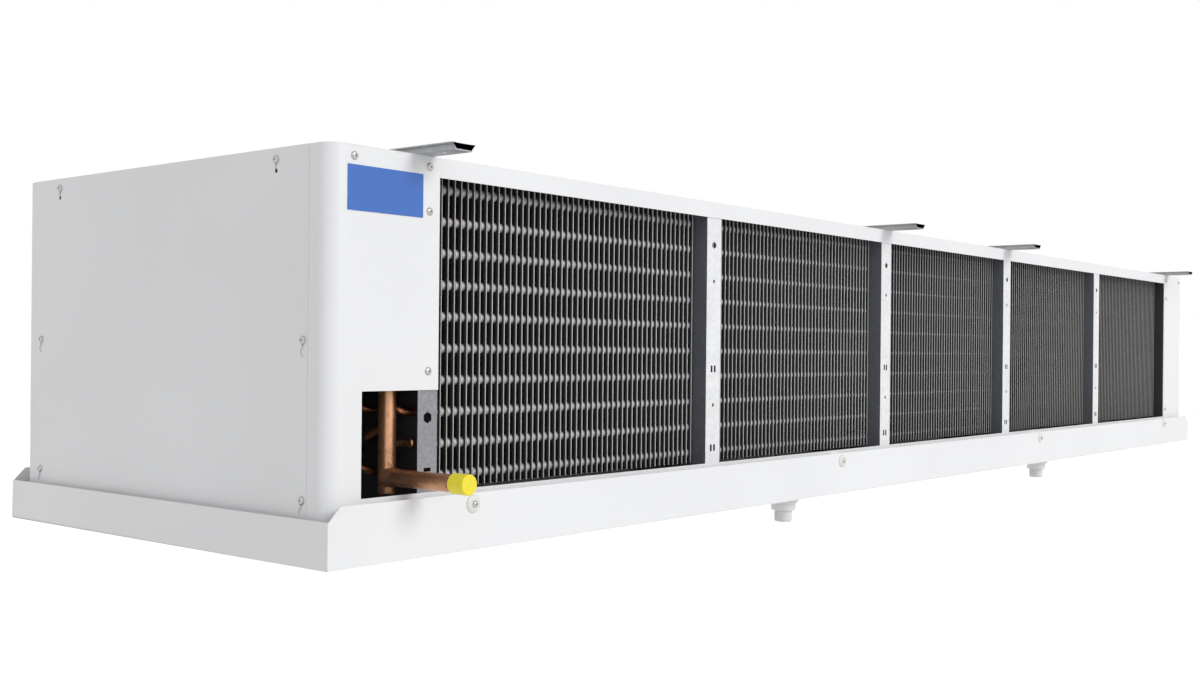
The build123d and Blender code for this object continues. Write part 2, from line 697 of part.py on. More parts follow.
guard_rings = [MOTOR_RADIUS, guard_radius - 2 * GUARD_WIRE]
with BuildPart() as fan_guards:
    for x in BAY_CENTRES:
        with BuildSketch(Plane.XZ.offset(-y_guard)):
            with Locations((x, Z_FAN)):
                for radius in reversed(guard_rings):
                    RegularPolygon(radius, GUARD_SIDES)
                    RegularPolygon(radius - GUARD_WIRE, GUARD_SIDES, mode=Mode.SUBTRACT)
        extrude(amount=GUARD_WIRE)
        for arm in range(GUARD_ARMS):
            angle = math.radians(45 + 360 / GUARD_ARMS * arm)
            outward = Vector(math.cos(angle), 0, math.sin(angle))
            arm_plane = Plane(
                origin=(x, Y_REAR + NOZZLE_WALL, Z_FAN), x_dir=outward, z_dir=outward.cross(
                    Vector(0, 1, 0))
            )
            reach = y_guard - Y_REAR - NOZZLE_WALL
            with BuildSketch(arm_plane):
                with BuildLine():
                    Polyline(
                        (MOTOR_RADIUS - GUARD_WIRE, reach),
                        (guard_radius - 2 * GUARD_WIRE, reach),
                        (guard_radius, 0),
                        (guard_radius - GUARD_WIRE, 0),
                        (guard_radius - 3 * GUARD_WIRE, reach - GUARD_WIRE),
                        (MOTOR_RADIUS - GUARD_WIRE, reach - GUARD_WIRE),
                        close=True,
                    )
                make_face()
            extrude(amount=GUARD_WIRE / 2, both=True)
save(fan_guards.part, "fan_guards")

y_motor = y_guard - GUARD_WIRE
y_rotor = y_motor - MOTOR_DEPTH - ROTOR_GAP
y_hub_front = y_rotor - HUB_DEPTH
blade_reach = math.sqrt(FAN_RADIUS**2 - (BLADE_CHORD / 2) ** 2)


def fan_motor(x):
    """Make a motor: the stator that the guard holds, and the shaft that carries the hub."""
    with BuildPart() as motor:
        with BuildSketch(Plane.XZ.offset(-y_motor)):
            with Locations((x, Z_FAN)):
                RegularPolygon(MOTOR_RADIUS, HUB_SIDES)
        extrude(amount=MOTOR_DEPTH)
        with BuildSketch(Plane.XZ.offset(-y_motor)):
            with Locations((x, Z_FAN)):
                Circle(SHAFT_RADIUS)
        extrude(amount=y_motor - y_hub_front - 2 * HUB_WALL)
    return motor.part


def fan_impeller(x):
    """Make an impeller: a cup-shaped hub with pitched blades, bored for the shaft."""
    pitch = math.radians(BLADE_PITCH)
    with BuildPart() as impeller:
        with BuildSketch(Plane.XZ.offset(-y_rotor)):
            with Locations((x, Z_FAN)):
                RegularPolygon(HUB_RADIUS, HUB_SIDES)
        extrude(amount=HUB_DEPTH)
        for blade in range(BLADES):
            angle = 2 * math.pi * blade / BLADES
            outward = Vector(math.cos(angle), 0, math.sin(angle))
            sideways = Vector(-math.sin(angle), 0, math.cos(angle))
            normal = Vector(0, 1, 0) * math.cos(pitch) + sideways * math.sin(pitch)
            with BuildSketch(Plane(
                origin=(x, y_rotor - HUB_DEPTH / 2, Z_FAN), x_dir=outward, z_dir=normal
            )):
                with BuildLine():
                    root = HUB_RADIUS - HUB_WALL
                    half = BLADE_CHORD / 2
                    Polyline(
                        (root, -half / 2), (root, half / 2), (blade_reach, half),
                        (FAN_RADIUS, 0), (blade_reach, -half),
                        close=True,
                    )
                make_face()
            extrude(amount=BLADE_SHEET / 2, both=True)
        with BuildSketch(Plane.XZ.offset(-y_rotor)):
            with Locations((x, Z_FAN)):
                Circle(SHAFT_RADIUS + SHAFT_CLEARANCE)
        extrude(amount=HUB_DEPTH - HUB_WALL, mode=Mode.SUBTRACT)
    return impeller.part


for number, x in enumerate(BAY_CENTRES, start=1):
    save(fan_motor(x), f"fan_motor_{number}")
    save(fan_impeller(x), f"fan_impeller_{number}")

# ---- Drip tray ----

tray_length = 2 * (X_END + TRAY_SIDE_OVERHANG)
tray_depth = Y_TRAY_REAR - Y_TRAY_FRONT
y_tray = (Y_TRAY_REAR + Y_TRAY_FRONT) / 2
drain_places = [(end * DRAIN_SPACING / 2, Y_FRONT + DRAIN_SETBACK) for end in (-1, 1)]
flange_step = TRAY_FLANGE - TRAY_SIDE_FLANGE

# The tray's floor and its four flanges are solids of their own that meet along flat faces.
z_floor_top = Z_TRAY + TRAY_SHEET
with BuildPart() as tray_floor:
    with BuildSketch(Plane.XY.offset(Z_TRAY)):
        with Locations((0, y_tray)):
            Rectangle(tray_length, tray_depth)
        with Locations(*drain_places):
            Circle(DRAIN_BORE_RADIUS, mode=Mode.SUBTRACT)
    extrude(amount=TRAY_SHEET)

with BuildPart() as long_flange:
    with BuildSketch(Plane.XZ.offset(-Y_TRAY_FRONT)):
        with BuildLine():
            Polyline(
                (-tray_length / 2, z_floor_top),
                (-tray_length / 2, Z_TRAY + TRAY_SIDE_FLANGE),
                (-tray_length / 2 + TRAY_SHEET, Z_TRAY + TRAY_SIDE_FLANGE),
                (-tray_length / 2 + TRAY_SHEET + flange_step, Z_TRAY + TRAY_FLANGE),
                (tray_length / 2 - TRAY_SHEET - flange_step, Z_TRAY + TRAY_FLANGE),
                (tray_length / 2 - TRAY_SHEET, Z_TRAY + TRAY_SIDE_FLANGE),
                (tray_length / 2, Z_TRAY + TRAY_SIDE_FLANGE),
                (tray_length / 2, z_floor_top),
                close=True,
            )
        make_face()
    extrude(amount=-TRAY_SHEET)
with BuildPart() as front_flange:
    add(long_flange.part)
    with BuildSketch(Plane.XZ.offset(-Y_TRAY_FRONT)):
        with Locations(*[(x, Z_TRAY_FIXING) for x in TRAY_FIXINGS]):
            RegularPolygon(TRAY_SCREW_RADIUS + NOTCH_CLEARANCE, TUBE_SIDES)
    extrude(amount=-2 * TRAY_SHEET, mode=Mode.SUBTRACT)
rear_flange = Pos(0, tray_depth - TRAY_SHEET, 0) * long_flange.part.solid()
side_flanges = [
    Pos(end * (tray_length - TRAY_SHEET) / 2, y_tray, z_floor_top)
    * Box(
        TRAY_SHEET, tray_depth - 2 * TRAY_SHEET, TRAY_SIDE_FLANGE - TRAY_SHEET,
        align=(Align.CENTER, Align.CENTER, Align.MIN),
    )
    for end in (-1, 1)
]
tray_solids = [tray_floor.part.solid(), front_flange.part.solid(), rear_flange]
save(Compound(tray_solids + side_flanges), "drip_tray")


def drain(x, y):
    """Turn a drain fitting: a shallow boss under the tray, a body and a threaded stub."""
    z_boss = -DRAIN_BOSS_DEPTH
    z_body = z_boss - DRAIN_BODY_DEPTH
    z_end = z_body - DRAIN_THREAD_DEPTH
    with BuildPart() as fitting:
        with BuildSketch(Plane(origin=(x, y, Z_TRAY), x_dir=(1, 0, 0), z_dir=(0, -1, 0))):
            with BuildLine():
                Polyline(
                    (DRAIN_BORE_RADIUS, 0),
                    (DRAIN_BOSS_RADIUS, 0),
                    (DRAIN_BODY_RADIUS, z_boss),
                    (DRAIN_BODY_RADIUS, z_body),
                    (DRAIN_THREAD_RADIUS, z_body),
                    (DRAIN_THREAD_RADIUS, z_end + DRAIN_CHAMFER),
                    (DRAIN_THREAD_RADIUS - DRAIN_CHAMFER, z_end),
                    (DRAIN_BORE_RADIUS, z_end),
                    close=True,
                )
            make_face()
        revolve(axis=Axis((x, y, Z_TRAY), (0, 0, 1)))
    return fitting.part


save(drain(*drain_places[0]), "left_drain")
save(drain(*drain_places[1]), "right_drain")

front_planes = [
    Plane(origin=(x, Y_TRAY_FRONT, Z_TRAY_FIXING), x_dir=(1, 0, 0), z_dir=(0, -1, 0))
    for x in TRAY_FIXINGS
]
y_bracket = Y_FRONT - BRACKET_REACH
nut_gap = COVER_GAP

with BuildPart() as tray_rosettes:
    for plane in front_planes:
        with BuildSketch(plane):
            RegularPolygon(ROSETTE_RADIUS, ROSETTE_SIDES)
        extrude(amount=ROSETTE_HEIGHT, taper=ROSETTE_TAPER)
        with BuildSketch(plane):
            RegularPolygon(TRAY_SCREW_RADIUS + NOTCH_CLEARANCE, TUBE_SIDES)
        extrude(amount=ROSETTE_HEIGHT, mode=Mode.SUBTRACT)
save(tray_rosettes.part, "tray_rosettes")

with BuildPart() as tray_screws:
    for plane in front_planes:
        add(dome_screw(
            plane.offset(ROSETTE_HEIGHT), TRAY_SCREW_HEAD, SCREW_HEAD_HEIGHT, TRAY_SCREW_RADIUS,
            ROSETTE_HEIGHT + y_bracket + BRACKET_SHEET + nut_gap + TRAY_NUT_HEIGHT - Y_TRAY_FRONT,
        ))
        with BuildSketch(Plane.XZ.offset(-(y_bracket + BRACKET_SHEET + nut_gap))):
            with Locations((plane.origin.X, Z_TRAY_FIXING)):
                RegularPolygon(TRAY_NUT_RADIUS, 6)
        extrude(amount=-TRAY_NUT_HEIGHT)
save(tray_screws.part, "tray_screws")

# Notched brackets behind the tray's front flange let its screws drop out downwards.
z_bracket_top = Z_TRAY + TRAY_FLANGE - BRACKET_BELOW_FLANGE
with BuildPart() as tray_brackets:
    for x in TRAY_FIXINGS:
        add(folded_sheet(
            Plane.YZ.offset(x - BRACKET_WIDTH / 2),
            [
                (Y_FRONT, Z_CASE), (Y_FRONT, z_bracket_top),
                (y_bracket, z_bracket_top), (y_bracket, Z_CASE),
            ],
            0, BRACKET_SHEET, BRACKET_WIDTH,
        ))
    with BuildSketch(Plane.XZ.offset(-y_bracket)):
        for x in TRAY_FIXINGS:
            with Locations((x, Z_TRAY_FIXING)):
                RegularPolygon(TRAY_SCREW_RADIUS + 2 * NOTCH_CLEARANCE, TUBE_SIDES)
                Rectangle(
                    2 * (TRAY_SCREW_RADIUS + NOTCH_CLEARANCE), Z_TRAY_FIXING - Z_CASE,
                    align=(Align.CENTER, Align.MAX),
                )
    extrude(amount=-2 * BRACKET_SHEET, mode=Mode.SUBTRACT)
save(tray_brackets.part, "tray_brackets")

# The tray hangs on pins along its rear flange and swings down for cleaning.
ear_start = HINGE_LUG_WIDTH / 2 + HINGE_SIDE_GAP
with BuildPart() as hinge_brackets:
    for x in TRAY_FIXINGS:
        with BuildSketch(Plane.XZ.offset(-Y_REAR)):
            with Locations((x, Z_HINGE)):
                Rectangle(HINGE_BASE_WIDTH, 3 * HINGE_EAR_RADIUS)
        extrude(amount=-HINGE_EAR_SHEET)
        for start in (ear_start, -ear_start - HINGE_EAR_SHEET):
            with BuildSketch(Plane.YZ.offset(x + start)):
                with Locations((Y_REAR, Z_HINGE)):
                    Rectangle(
                        Y_HINGE - Y_REAR + HINGE_EAR_RADIUS, 2 * HINGE_EAR_RADIUS,
                        align=(Align.MIN, Align.CENTER),
                    )
            extrude(amount=HINGE_EAR_SHEET)
        with BuildSketch(Plane.YZ.offset(x - ear_start)):
            with Locations((Y_HINGE, Z_HINGE)):
                Circle(HINGE_PIN_RADIUS)
        extrude(amount=2 * ear_start)
save(hinge_brackets.part, "hinge_brackets")

with BuildPart() as hinge_lugs:
    for x in TRAY_FIXINGS:
        with BuildSketch(Plane.YZ.offset(x - HINGE_LUG_WIDTH / 2)):
            with Locations((Y_HINGE - HINGE_LUG_RADIUS, Z_HINGE)):
                Rectangle(
                    Y_TRAY_REAR - TRAY_SHEET - Y_HINGE + HINGE_LUG_RADIUS, 2 * HINGE_LUG_RADIUS,
                    align=(Align.MIN, Align.CENTER),
                )
            with Locations((Y_HINGE, Z_HINGE)):
                Circle(HINGE_PIN_RADIUS + HINGE_CLEARANCE, mode=Mode.SUBTRACT)
        extrude(amount=HINGE_LUG_WIDTH)
save(hinge_lugs.part, "hinge_lugs")

# ---- Hanger rails ----

rail_half = CASE_DEPTH / 2 + RAIL_OVERHANG
for label, x in RAIL_PLACES.items():
    half_web = RAIL_WEB / 2
    with BuildPart() as hanger_rail:
        add(folded_sheet(
            Plane.XZ.offset(-rail_half),
            [
                (x - half_web - RAIL_LIP, RAIL_HEIGHT), (x - half_web, RAIL_HEIGHT),
                (x - half_web, 0), (x + half_web, 0),
                (x + half_web, RAIL_HEIGHT), (x + half_web + RAIL_LIP, RAIL_HEIGHT),
            ],
            0, RAIL_SHEET, 2 * rail_half,
        ))
        with Locations((x, -HANGER_HOLE_SPACING / 2, 0), (x, HANGER_HOLE_SPACING / 2, 0)):
            Hole(HANGER_HOLE_RADIUS, depth=2 * RAIL_SHEET)
        with BuildSketch():
            with Locations((x, -RAIL_BOLT_SPACING / 2), (x, RAIL_BOLT_SPACING / 2)):
                RegularPolygon(RAIL_BOLT_RADIUS + RAIL_BOLT_CLEARANCE, TUBE_SIDES)
        extrude(amount=RAIL_SHEET, mode=Mode.SUBTRACT)
    save(hanger_rail.part, label)

with BuildPart() as rail_bolts:
    with BuildSketch(Plane.XY.offset(RAIL_SHEET)):
        with Locations(*rail_bolt_places):
            RegularPolygon(RAIL_BOLT_HEAD, 6)
    extrude(amount=RAIL_BOLT_HEAD_HEIGHT)
    with BuildSketch(Plane.XY.offset(RAIL_SHEET)):
        with Locations(*rail_bolt_places):
            RegularPolygon(RAIL_BOLT_RADIUS, TUBE_SIDES)
    extrude(amount=-RAIL_BOLT_LENGTH)
save(rail_bolts.part, "rail_bolts")
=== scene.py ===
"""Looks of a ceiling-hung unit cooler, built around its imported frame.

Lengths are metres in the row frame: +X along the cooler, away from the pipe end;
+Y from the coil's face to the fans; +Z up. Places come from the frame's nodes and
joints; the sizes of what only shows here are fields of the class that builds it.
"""

import json
import logging
import math
from abc import ABC, abstractmethod
from dataclasses import dataclass, field
from enum import Enum
from functools import cache
from typing import Any, Iterable, Sequence

import bmesh
import bpy
from mathutils import Matrix, Vector

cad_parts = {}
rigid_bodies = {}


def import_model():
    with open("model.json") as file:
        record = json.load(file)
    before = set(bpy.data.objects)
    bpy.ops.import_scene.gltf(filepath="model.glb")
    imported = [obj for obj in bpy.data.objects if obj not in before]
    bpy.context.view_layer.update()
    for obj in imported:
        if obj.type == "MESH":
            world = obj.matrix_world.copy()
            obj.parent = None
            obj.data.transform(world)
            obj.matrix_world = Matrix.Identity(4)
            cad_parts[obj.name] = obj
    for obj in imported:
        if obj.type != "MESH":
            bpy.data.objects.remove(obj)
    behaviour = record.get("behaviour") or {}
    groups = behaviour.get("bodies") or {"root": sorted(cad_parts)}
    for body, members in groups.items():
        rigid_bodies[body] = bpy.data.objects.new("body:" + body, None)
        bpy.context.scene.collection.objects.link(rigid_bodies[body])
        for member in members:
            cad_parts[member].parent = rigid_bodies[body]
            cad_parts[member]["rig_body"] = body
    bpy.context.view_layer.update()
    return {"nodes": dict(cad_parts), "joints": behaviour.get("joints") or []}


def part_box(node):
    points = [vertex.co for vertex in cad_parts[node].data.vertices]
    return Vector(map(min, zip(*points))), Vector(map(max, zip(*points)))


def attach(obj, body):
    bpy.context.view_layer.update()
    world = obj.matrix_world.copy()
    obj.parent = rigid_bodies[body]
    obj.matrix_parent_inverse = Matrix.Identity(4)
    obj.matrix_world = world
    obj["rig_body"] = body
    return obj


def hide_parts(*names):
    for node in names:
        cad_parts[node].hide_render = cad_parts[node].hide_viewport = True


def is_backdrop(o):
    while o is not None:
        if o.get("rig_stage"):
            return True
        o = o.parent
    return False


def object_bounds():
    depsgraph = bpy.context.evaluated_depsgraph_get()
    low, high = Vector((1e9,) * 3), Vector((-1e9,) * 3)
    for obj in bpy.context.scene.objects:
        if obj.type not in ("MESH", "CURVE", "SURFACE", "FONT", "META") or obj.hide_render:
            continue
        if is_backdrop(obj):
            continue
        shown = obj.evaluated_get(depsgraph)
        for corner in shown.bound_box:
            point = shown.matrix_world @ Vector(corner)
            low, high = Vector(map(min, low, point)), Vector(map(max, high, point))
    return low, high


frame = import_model()

LOG = logging.getLogger("unit_cooler")
Colour = tuple[float, float, float]
MM = 0.001
ALONG = Vector((1, 0, 0))
FORWARD = Vector((0, -1, 0))
REARWARD = Vector((0, 1, 0))
DOWN = Vector((0, 0, -1))


class Slot(Enum):
    """The record's material slots."""

    WHITE_COAT = "white_coat"
    GALVANISED = "galvanised"
    STAINLESS = "stainless"
    BLUE_PLATE = "blue_plate"
    FIN = "fin_aluminium"
    COPPER = "copper"
    BRASS = "distributor_brass"
    CAP = "cap_plastic"
    FAN = "fan_black"
    ROSETTE = "rosette_plastic"
    DRAIN = "drain_plastic"


class Side(Enum):
    """An end of the cooler."""

    LEFT = -1
    RIGHT = 1


# ---- Shader graphs ----


class Field:
    """A number that changes over a surface, written as plain arithmetic."""

    def __init__(self, graph: "Graph", socket: bpy.types.NodeSocket) -> None:
        """Wrap an output socket of a graph's node."""
        self.graph = graph
        self.socket = socket

    def maths(self, operation: str, *values: "Field | float") -> "Field":
        """Add a Math node.

        Args:
            operation: The node's operation.
            values: Its inputs, in order.

        Returns:
            The node's result.
        """
        node = self.graph.node(
            "ShaderNodeMath", {"operation": operation}, dict(enumerate(values))
        )
        return Field(self.graph, node.outputs[0])

    def __add__(self, other: "Field | float") -> "Field":
        """Add a number or another field."""
        return self.maths("ADD", self, other)

    __radd__ = __add__

    def __sub__(self, other: "Field | float") -> "Field":
        """Take a number or another field away."""
        return self.maths("SUBTRACT", self, other)

    def __rsub__(self, other: float) -> "Field":
        """Take this field away from a number."""
        return self.maths("SUBTRACT", other, self)

    def __mul__(self, other: "Field | float") -> "Field":
        """Multiply by a number or another field."""
        return self.maths("MULTIPLY", self, other)

    __rmul__ = __mul__

    def between(self, low: float, high: float) -> "Field":
        """Rise smoothly from 0 at the low value to 1 at the high value.

        Args:
            low: The value that gives 0.
            high: The value that gives 1; it may be the smaller one.

        Returns:
            The smooth step.
        """
        node = self.graph.node(
            "ShaderNodeMapRange",
            {"interpolation_type": "SMOOTHSTEP"},
            {0: self, 1: low, 2: high, 3: 0.0, 4: 1.0},
        )
        return Field(self.graph, node.outputs[0])


class Graph:
    """The node graph of one finish, around its Principled shader."""

    def __init__(
        self, name: str, colour: Colour, roughness: float, metallic: float = 0.0
    ) -> None:
        """Make a material with plain values on the shader's own sockets.

        Args:
            name: The material's name.
            colour: Its base colour.
            roughness: Its roughness.
            metallic: 0 for paint or plastic, 1 for bare metal.
        """
        self.material = bpy.data.materials.new(name)
        self.material.use_nodes = True
        self.tree = self.material.node_tree
        self.shader = self.tree.nodes["Principled BSDF"]
        self.shader.inputs["Base Color"].default_value = (*colour, 1.0)
        self.shader.inputs["Roughness"].default_value = roughness
        self.shader.inputs["Metallic"].default_value = metallic

    @classmethod
    def of_tree(cls, tree: bpy.types.NodeTree, shader: str) -> "Graph":
        """Wrap a tree that is there already, such as the world's, around one of its shaders."""
        graph = cls.__new__(cls)
        graph.tree, graph.shader = tree, tree.nodes[shader]
        return graph

    def seen_directly(self) -> Field:
        """Give 1 to rays from the camera, from a mirror or through glass, and 0 to others."""
        path = self.node("ShaderNodeLightPath").outputs
        camera, glossy, through = (
            Field(self, path[f"Is {kind} Ray"]) for kind in ("Camera", "Glossy", "Transmission")
        )
        return camera.maths("MAXIMUM", camera, glossy.maths("MAXIMUM", glossy, through))

    def node(
        self, kind: str, settings: dict[str, Any] | None = None,
        sockets: dict[int | str, Any] | None = None,
    ) -> bpy.types.Node:
        """Add any node.

        Args:
            kind: The node's type.
            settings: Its own settings, such as a Math node's operation, set first.
            sockets: Values or links of its inputs, by name or number.

        Returns:
            The node.
        """
        node = self.tree.nodes.new(kind)
        for name, value in (settings or {}).items():
            setattr(node, name, value)
        for key, value in (sockets or {}).items():
            self.feed(node.inputs[key], value)
        return node

    def feed(self, socket: bpy.types.NodeSocket, value: Any) -> None:
        """Link a field or an output socket to an input, or set a plain value on it."""
        if isinstance(value, Field):
            value = value.socket
        if isinstance(value, bpy.types.NodeSocket):
            self.tree.links.new(value, socket)
        elif isinstance(value, tuple) and len(value) == 3 and socket.type == "RGBA":
            socket.default_value = (*value, 1.0)
        else:
            socket.default_value = value

    def place(self, stretch: Sequence[float] = (1.0, 1.0, 1.0)) -> bpy.types.NodeSocket:
        """Give the place on the surface, in metres, stretched along the three axes."""
        place = self.node("ShaderNodeTexCoord").outputs["Object"]
        scaled = self.node("ShaderNodeMapping", {"vector_type": "TEXTURE"}, {0: place})
        scaled.inputs["Scale"].default_value = stretch
        return scaled.outputs[0]

    def along(self, axis: str) -> Field:
        """Give one coordinate of the place on the surface, in metres."""
        split = self.node("ShaderNodeSeparateXYZ", None, {0: self.place()})
        return Field(self, split.outputs[axis])

    def noise(
        self, cell: float, detail: float = 3.0, stretch: Sequence[float] = (1.0, 1.0, 1.0)
    ) -> Field:
        """Give smooth noise about 0.5 with cells of a size in metres."""
        node = self.node(
            "ShaderNodeTexNoise", None,
            {"Vector": self.place(stretch), "Scale": 1 / cell, "Detail": detail},
        )
        return Field(self, node.outputs[0])

    def crystals(self, cell: float) -> Field:
        """Give one random level for each crystal of a size in metres."""
        node = self.node(
            "ShaderNodeTexVoronoi", None, {"Vector": self.place(), "Scale": 1 / cell}
        )
        split = self.node("ShaderNodeSeparateColor", None, {0: node.outputs["Color"]})
        return Field(self, split.outputs[0])

    def blend(self, share: Field, first: Any, second: Any) -> bpy.types.NodeSocket:
        """Mix two colours by a share of the second."""
        node = self.node(
            "ShaderNodeMix", {"data_type": "RGBA", "clamp_factor": True},
            {0: share, 6: first, 7: second},
        )
        return node.outputs[2]

    def set(self, **drives: Any) -> None:
        """Drive the shader: base_color, roughness, metallic or emission_color."""
        for name, value in drives.items():
            self.feed(self.shader.inputs[name.replace("_", " ").title()], value)

    def bump(self, height: Field, depth: float) -> None:
        """Raise the surface by a height of 0 to 1 times a depth in metres."""
        node = self.node(
            "ShaderNodeBump", None, {"Strength": 1.0, "Distance": depth, "Height": height}
        )
        self.feed(self.shader.inputs["Normal"], node.outputs[0])


# ---- Finishes ----


@dataclass(frozen=True)
class Finish(ABC):
    """A finish that makes its material once."""

    name: str
    colour: Colour
    roughness: float

    @abstractmethod
    def graph(self) -> Graph:
        """Build the shader graph."""

    @cache
    def material(self) -> bpy.types.Material:
        """Give the finish's material."""
        return self.graph().material


@dataclass(frozen=True)
class PowderCoat(Finish):
    """Baked paint with a faint orange-peel skin."""

    peel: float = 2.2 * MM
    relief: float = 0.012 * MM

    def graph(self) -> Graph:
        """Build the shader graph."""
        graph = Graph(self.name, self.colour, self.roughness)
        shade = graph.noise(0.4, 2.0)
        darker = tuple(level * 0.965 for level in self.colour)
        graph.set(
            base_color=graph.blend(shade.between(0.35, 0.65), darker, self.colour),
            roughness=self.roughness - 0.04 + 0.08 * graph.noise(0.05),
        )
        graph.bump(graph.noise(self.peel, 1.0), self.relief)
        return graph


@dataclass(frozen=True)
class ZincSheet(Finish):
    """Hot-dip galvanised steel with its crystal pattern and handling marks."""

    crystal: float = 6 * MM
    metallic: float = 0.45
    shade: float = 0.86

    def graph(self) -> Graph:
        """Build the shader graph."""
        graph = Graph(self.name, self.colour, self.roughness, metallic=self.metallic)
        spangle = graph.crystals(self.crystal) * 0.4 + graph.crystals(self.crystal / 4) * 0.3
        cloud = graph.noise(0.06, 6.0)
        scratch = graph.noise(1.1 * MM, 2.0, (1.0, 1.0, 45.0)).between(0.66, 0.74)
        darker = tuple(level * self.shade for level in self.colour)
        level = spangle * 0.7 + cloud * 0.5
        skin = graph.blend(level.between(0.15, 0.85), self.colour, darker)
        bright = tuple(min(1.0, level * 1.08) for level in self.colour)
        graph.set(
            base_color=graph.blend(scratch * 0.6, skin, bright),
            roughness=self.roughness - 0.08 + 0.2 * cloud,
        )
        graph.bump(spangle, 0.01 * MM)
        return graph


@dataclass(frozen=True)
class FinStock(Finish):
    """Aluminium strip in its own colour at its leading edge, with painted shade behind that edge that grows
    darker deeper inside the coil.
    """

    # The next two colours are painted shade: the first just behind the leading edge, the second darker and
    # deeper in the coil; the two depths below say where each begins.
    side: Colour = (0.085, 0.083, 0.09)
    deep_shade: Colour = (0.02, 0.02, 0.022)
    front: float = 0.0
    shade_start: float = 1.3 * MM
    deep_shade_start: float = 8 * MM

    def graph(self) -> Graph:
        """Build the shader graph."""
        graph = Graph(self.name, self.colour, self.roughness)
        graph.shader.inputs["Specular IOR Level"].default_value = 0.12
        lines = graph.noise(0.8 * MM, 2.0, (1.0, 1.0, 60.0))
        depth = graph.along("Y") - self.front
        # Painted shade behind the leading edge, going from the near shade colour to the darker deep one.
        inner = graph.blend(depth.between(self.shade_start, self.deep_shade_start), self.side, self.deep_shade)
        graph.set(
            base_color=graph.blend(
                depth.between(0.7 * self.shade_start, self.shade_start), self.colour, inner
            ),
            roughness=self.roughness + 0.15 * lines,
        )
        return graph


@dataclass(frozen=True)
class BareCopper(Finish):
    """Drawn copper tube with brown patina in clouds and specks."""

    patina: Colour = (0.11, 0.04, 0.018)
    worn: float = 0.5

    def graph(self) -> Graph:
        """Build the shader graph."""
        graph = Graph(self.name, self.colour, self.roughness, metallic=1.0)
        cloud = graph.noise(28 * MM, 3.0)
        speck = graph.noise(1.8 * MM, 8.0)
        level = cloud * 0.55 + speck * 0.8
        tarnish = level.between(0.9 - 0.3 * self.worn, 1.02 - 0.3 * self.worn)
        warm = tuple(level * 0.72 for level in self.colour)
        skin = graph.blend(cloud.between(0.35, 0.7), self.colour, warm)
        graph.set(
            base_color=graph.blend(tarnish * 0.85, skin, self.patina),
            roughness=self.roughness + 0.3 * tarnish,
            metallic=1.0 - 0.45 * tarnish,
        )
        graph.bump(speck, 0.03 * MM)
        return graph


@dataclass(frozen=True)
class TurnedMetal(Finish):
    """Bare turned or pressed metal with fine marks."""

    metallic: float = 1.0

    def graph(self) -> Graph:
        """Build the shader graph."""
        graph = Graph(self.name, self.colour, self.roughness, metallic=self.metallic)
        marks = graph.noise(0.6 * MM, 3.0)
        dull = tuple(level * 0.85 for level in self.colour)
        graph.set(
            base_color=graph.blend(marks.between(0.3, 0.7), dull, self.colour),
            roughness=self.roughness - 0.05 + 0.12 * marks,
        )
        graph.bump(marks, 0.01 * MM)
        return graph


@dataclass(frozen=True)
class MouldedPlastic(Finish):
    """Moulded plastic with a fine matt grain."""

    grain: float = 0.7 * MM

    def graph(self) -> Graph:
        """Build the shader graph."""
        graph = Graph(self.name, self.colour, self.roughness)
        grain = graph.noise(self.grain, 2.0)
        darker = tuple(level * 0.93 for level in self.colour)
        graph.set(
            base_color=graph.blend(graph.noise(9 * MM).between(0.3, 0.7), darker, self.colour),
            roughness=self.roughness - 0.05 + 0.1 * grain,
        )
        graph.bump(grain, 0.02 * MM)
        return graph


WHITE_COAT = PowderCoat("white powder coat", (0.853, 0.86, 0.872), 0.42)
BLUE_COAT = PowderCoat("blue plate coat", (0.053, 0.165, 0.55), 0.3, relief=0.004 * MM)
FAN_COAT = PowderCoat("black guard coat", (0.022, 0.022, 0.024), 0.4)
ZINC = ZincSheet("galvanised sheet", (0.72, 0.725, 0.735), 0.42)
# A lighter copy of the galvanised sheet for the tube sheets: painted light over the real spangle and
# scratches.
PAINTED_LIGHT_ZINC = ZincSheet("galvanised flange with painted light", (0.86, 0.865, 0.875), 0.4, metallic=0.2, shade=0.84)
# A darker copy of the galvanised sheet for the end sheets inside the casing: painted shade over the real
# spangle.
PAINTED_SHADE_ZINC = ZincSheet("galvanised flange with painted shade", (0.32, 0.325, 0.35), 0.45, 3.5 * MM, 0.3, 0.66)
# Darker copies for the sheets' faces that look along the cooler: painted shade between the fins, and deeper
# painted shade on the end sheets.
WEB_PAINTED_SHADE = ZincSheet("galvanised web", (0.16, 0.175, 0.2), 0.5, metallic=0.3, shade=0.8)
END_WEB_PAINTED_SHADE = ZincSheet("galvanised web in the dark", (0.035, 0.034, 0.036), 0.6, metallic=0.0)
RAIL_ZINC = ZincSheet("galvanised rail", (0.5, 0.51, 0.52), 0.45, shade=0.8)
COLLAR = TurnedMetal("fin collar", (0.7, 0.69, 0.73), 0.45, metallic=0.3)
COPPER = BareCopper("tarnished copper", (0.66, 0.35, 0.2), 0.4, worn=0.62)
# A darker copy of the tarnished copper for the coil's tubes, bends and lines: its darkness is painted shade,
# while its patina clouds and specks are real.
COPPER_IN_PAINTED_SHADE = BareCopper("copper in painted shade", (0.4, 0.17, 0.085), 0.36, worn=0.35)
STAINLESS = TurnedMetal("stainless steel", (0.5, 0.495, 0.49), 0.3, metallic=0.9)
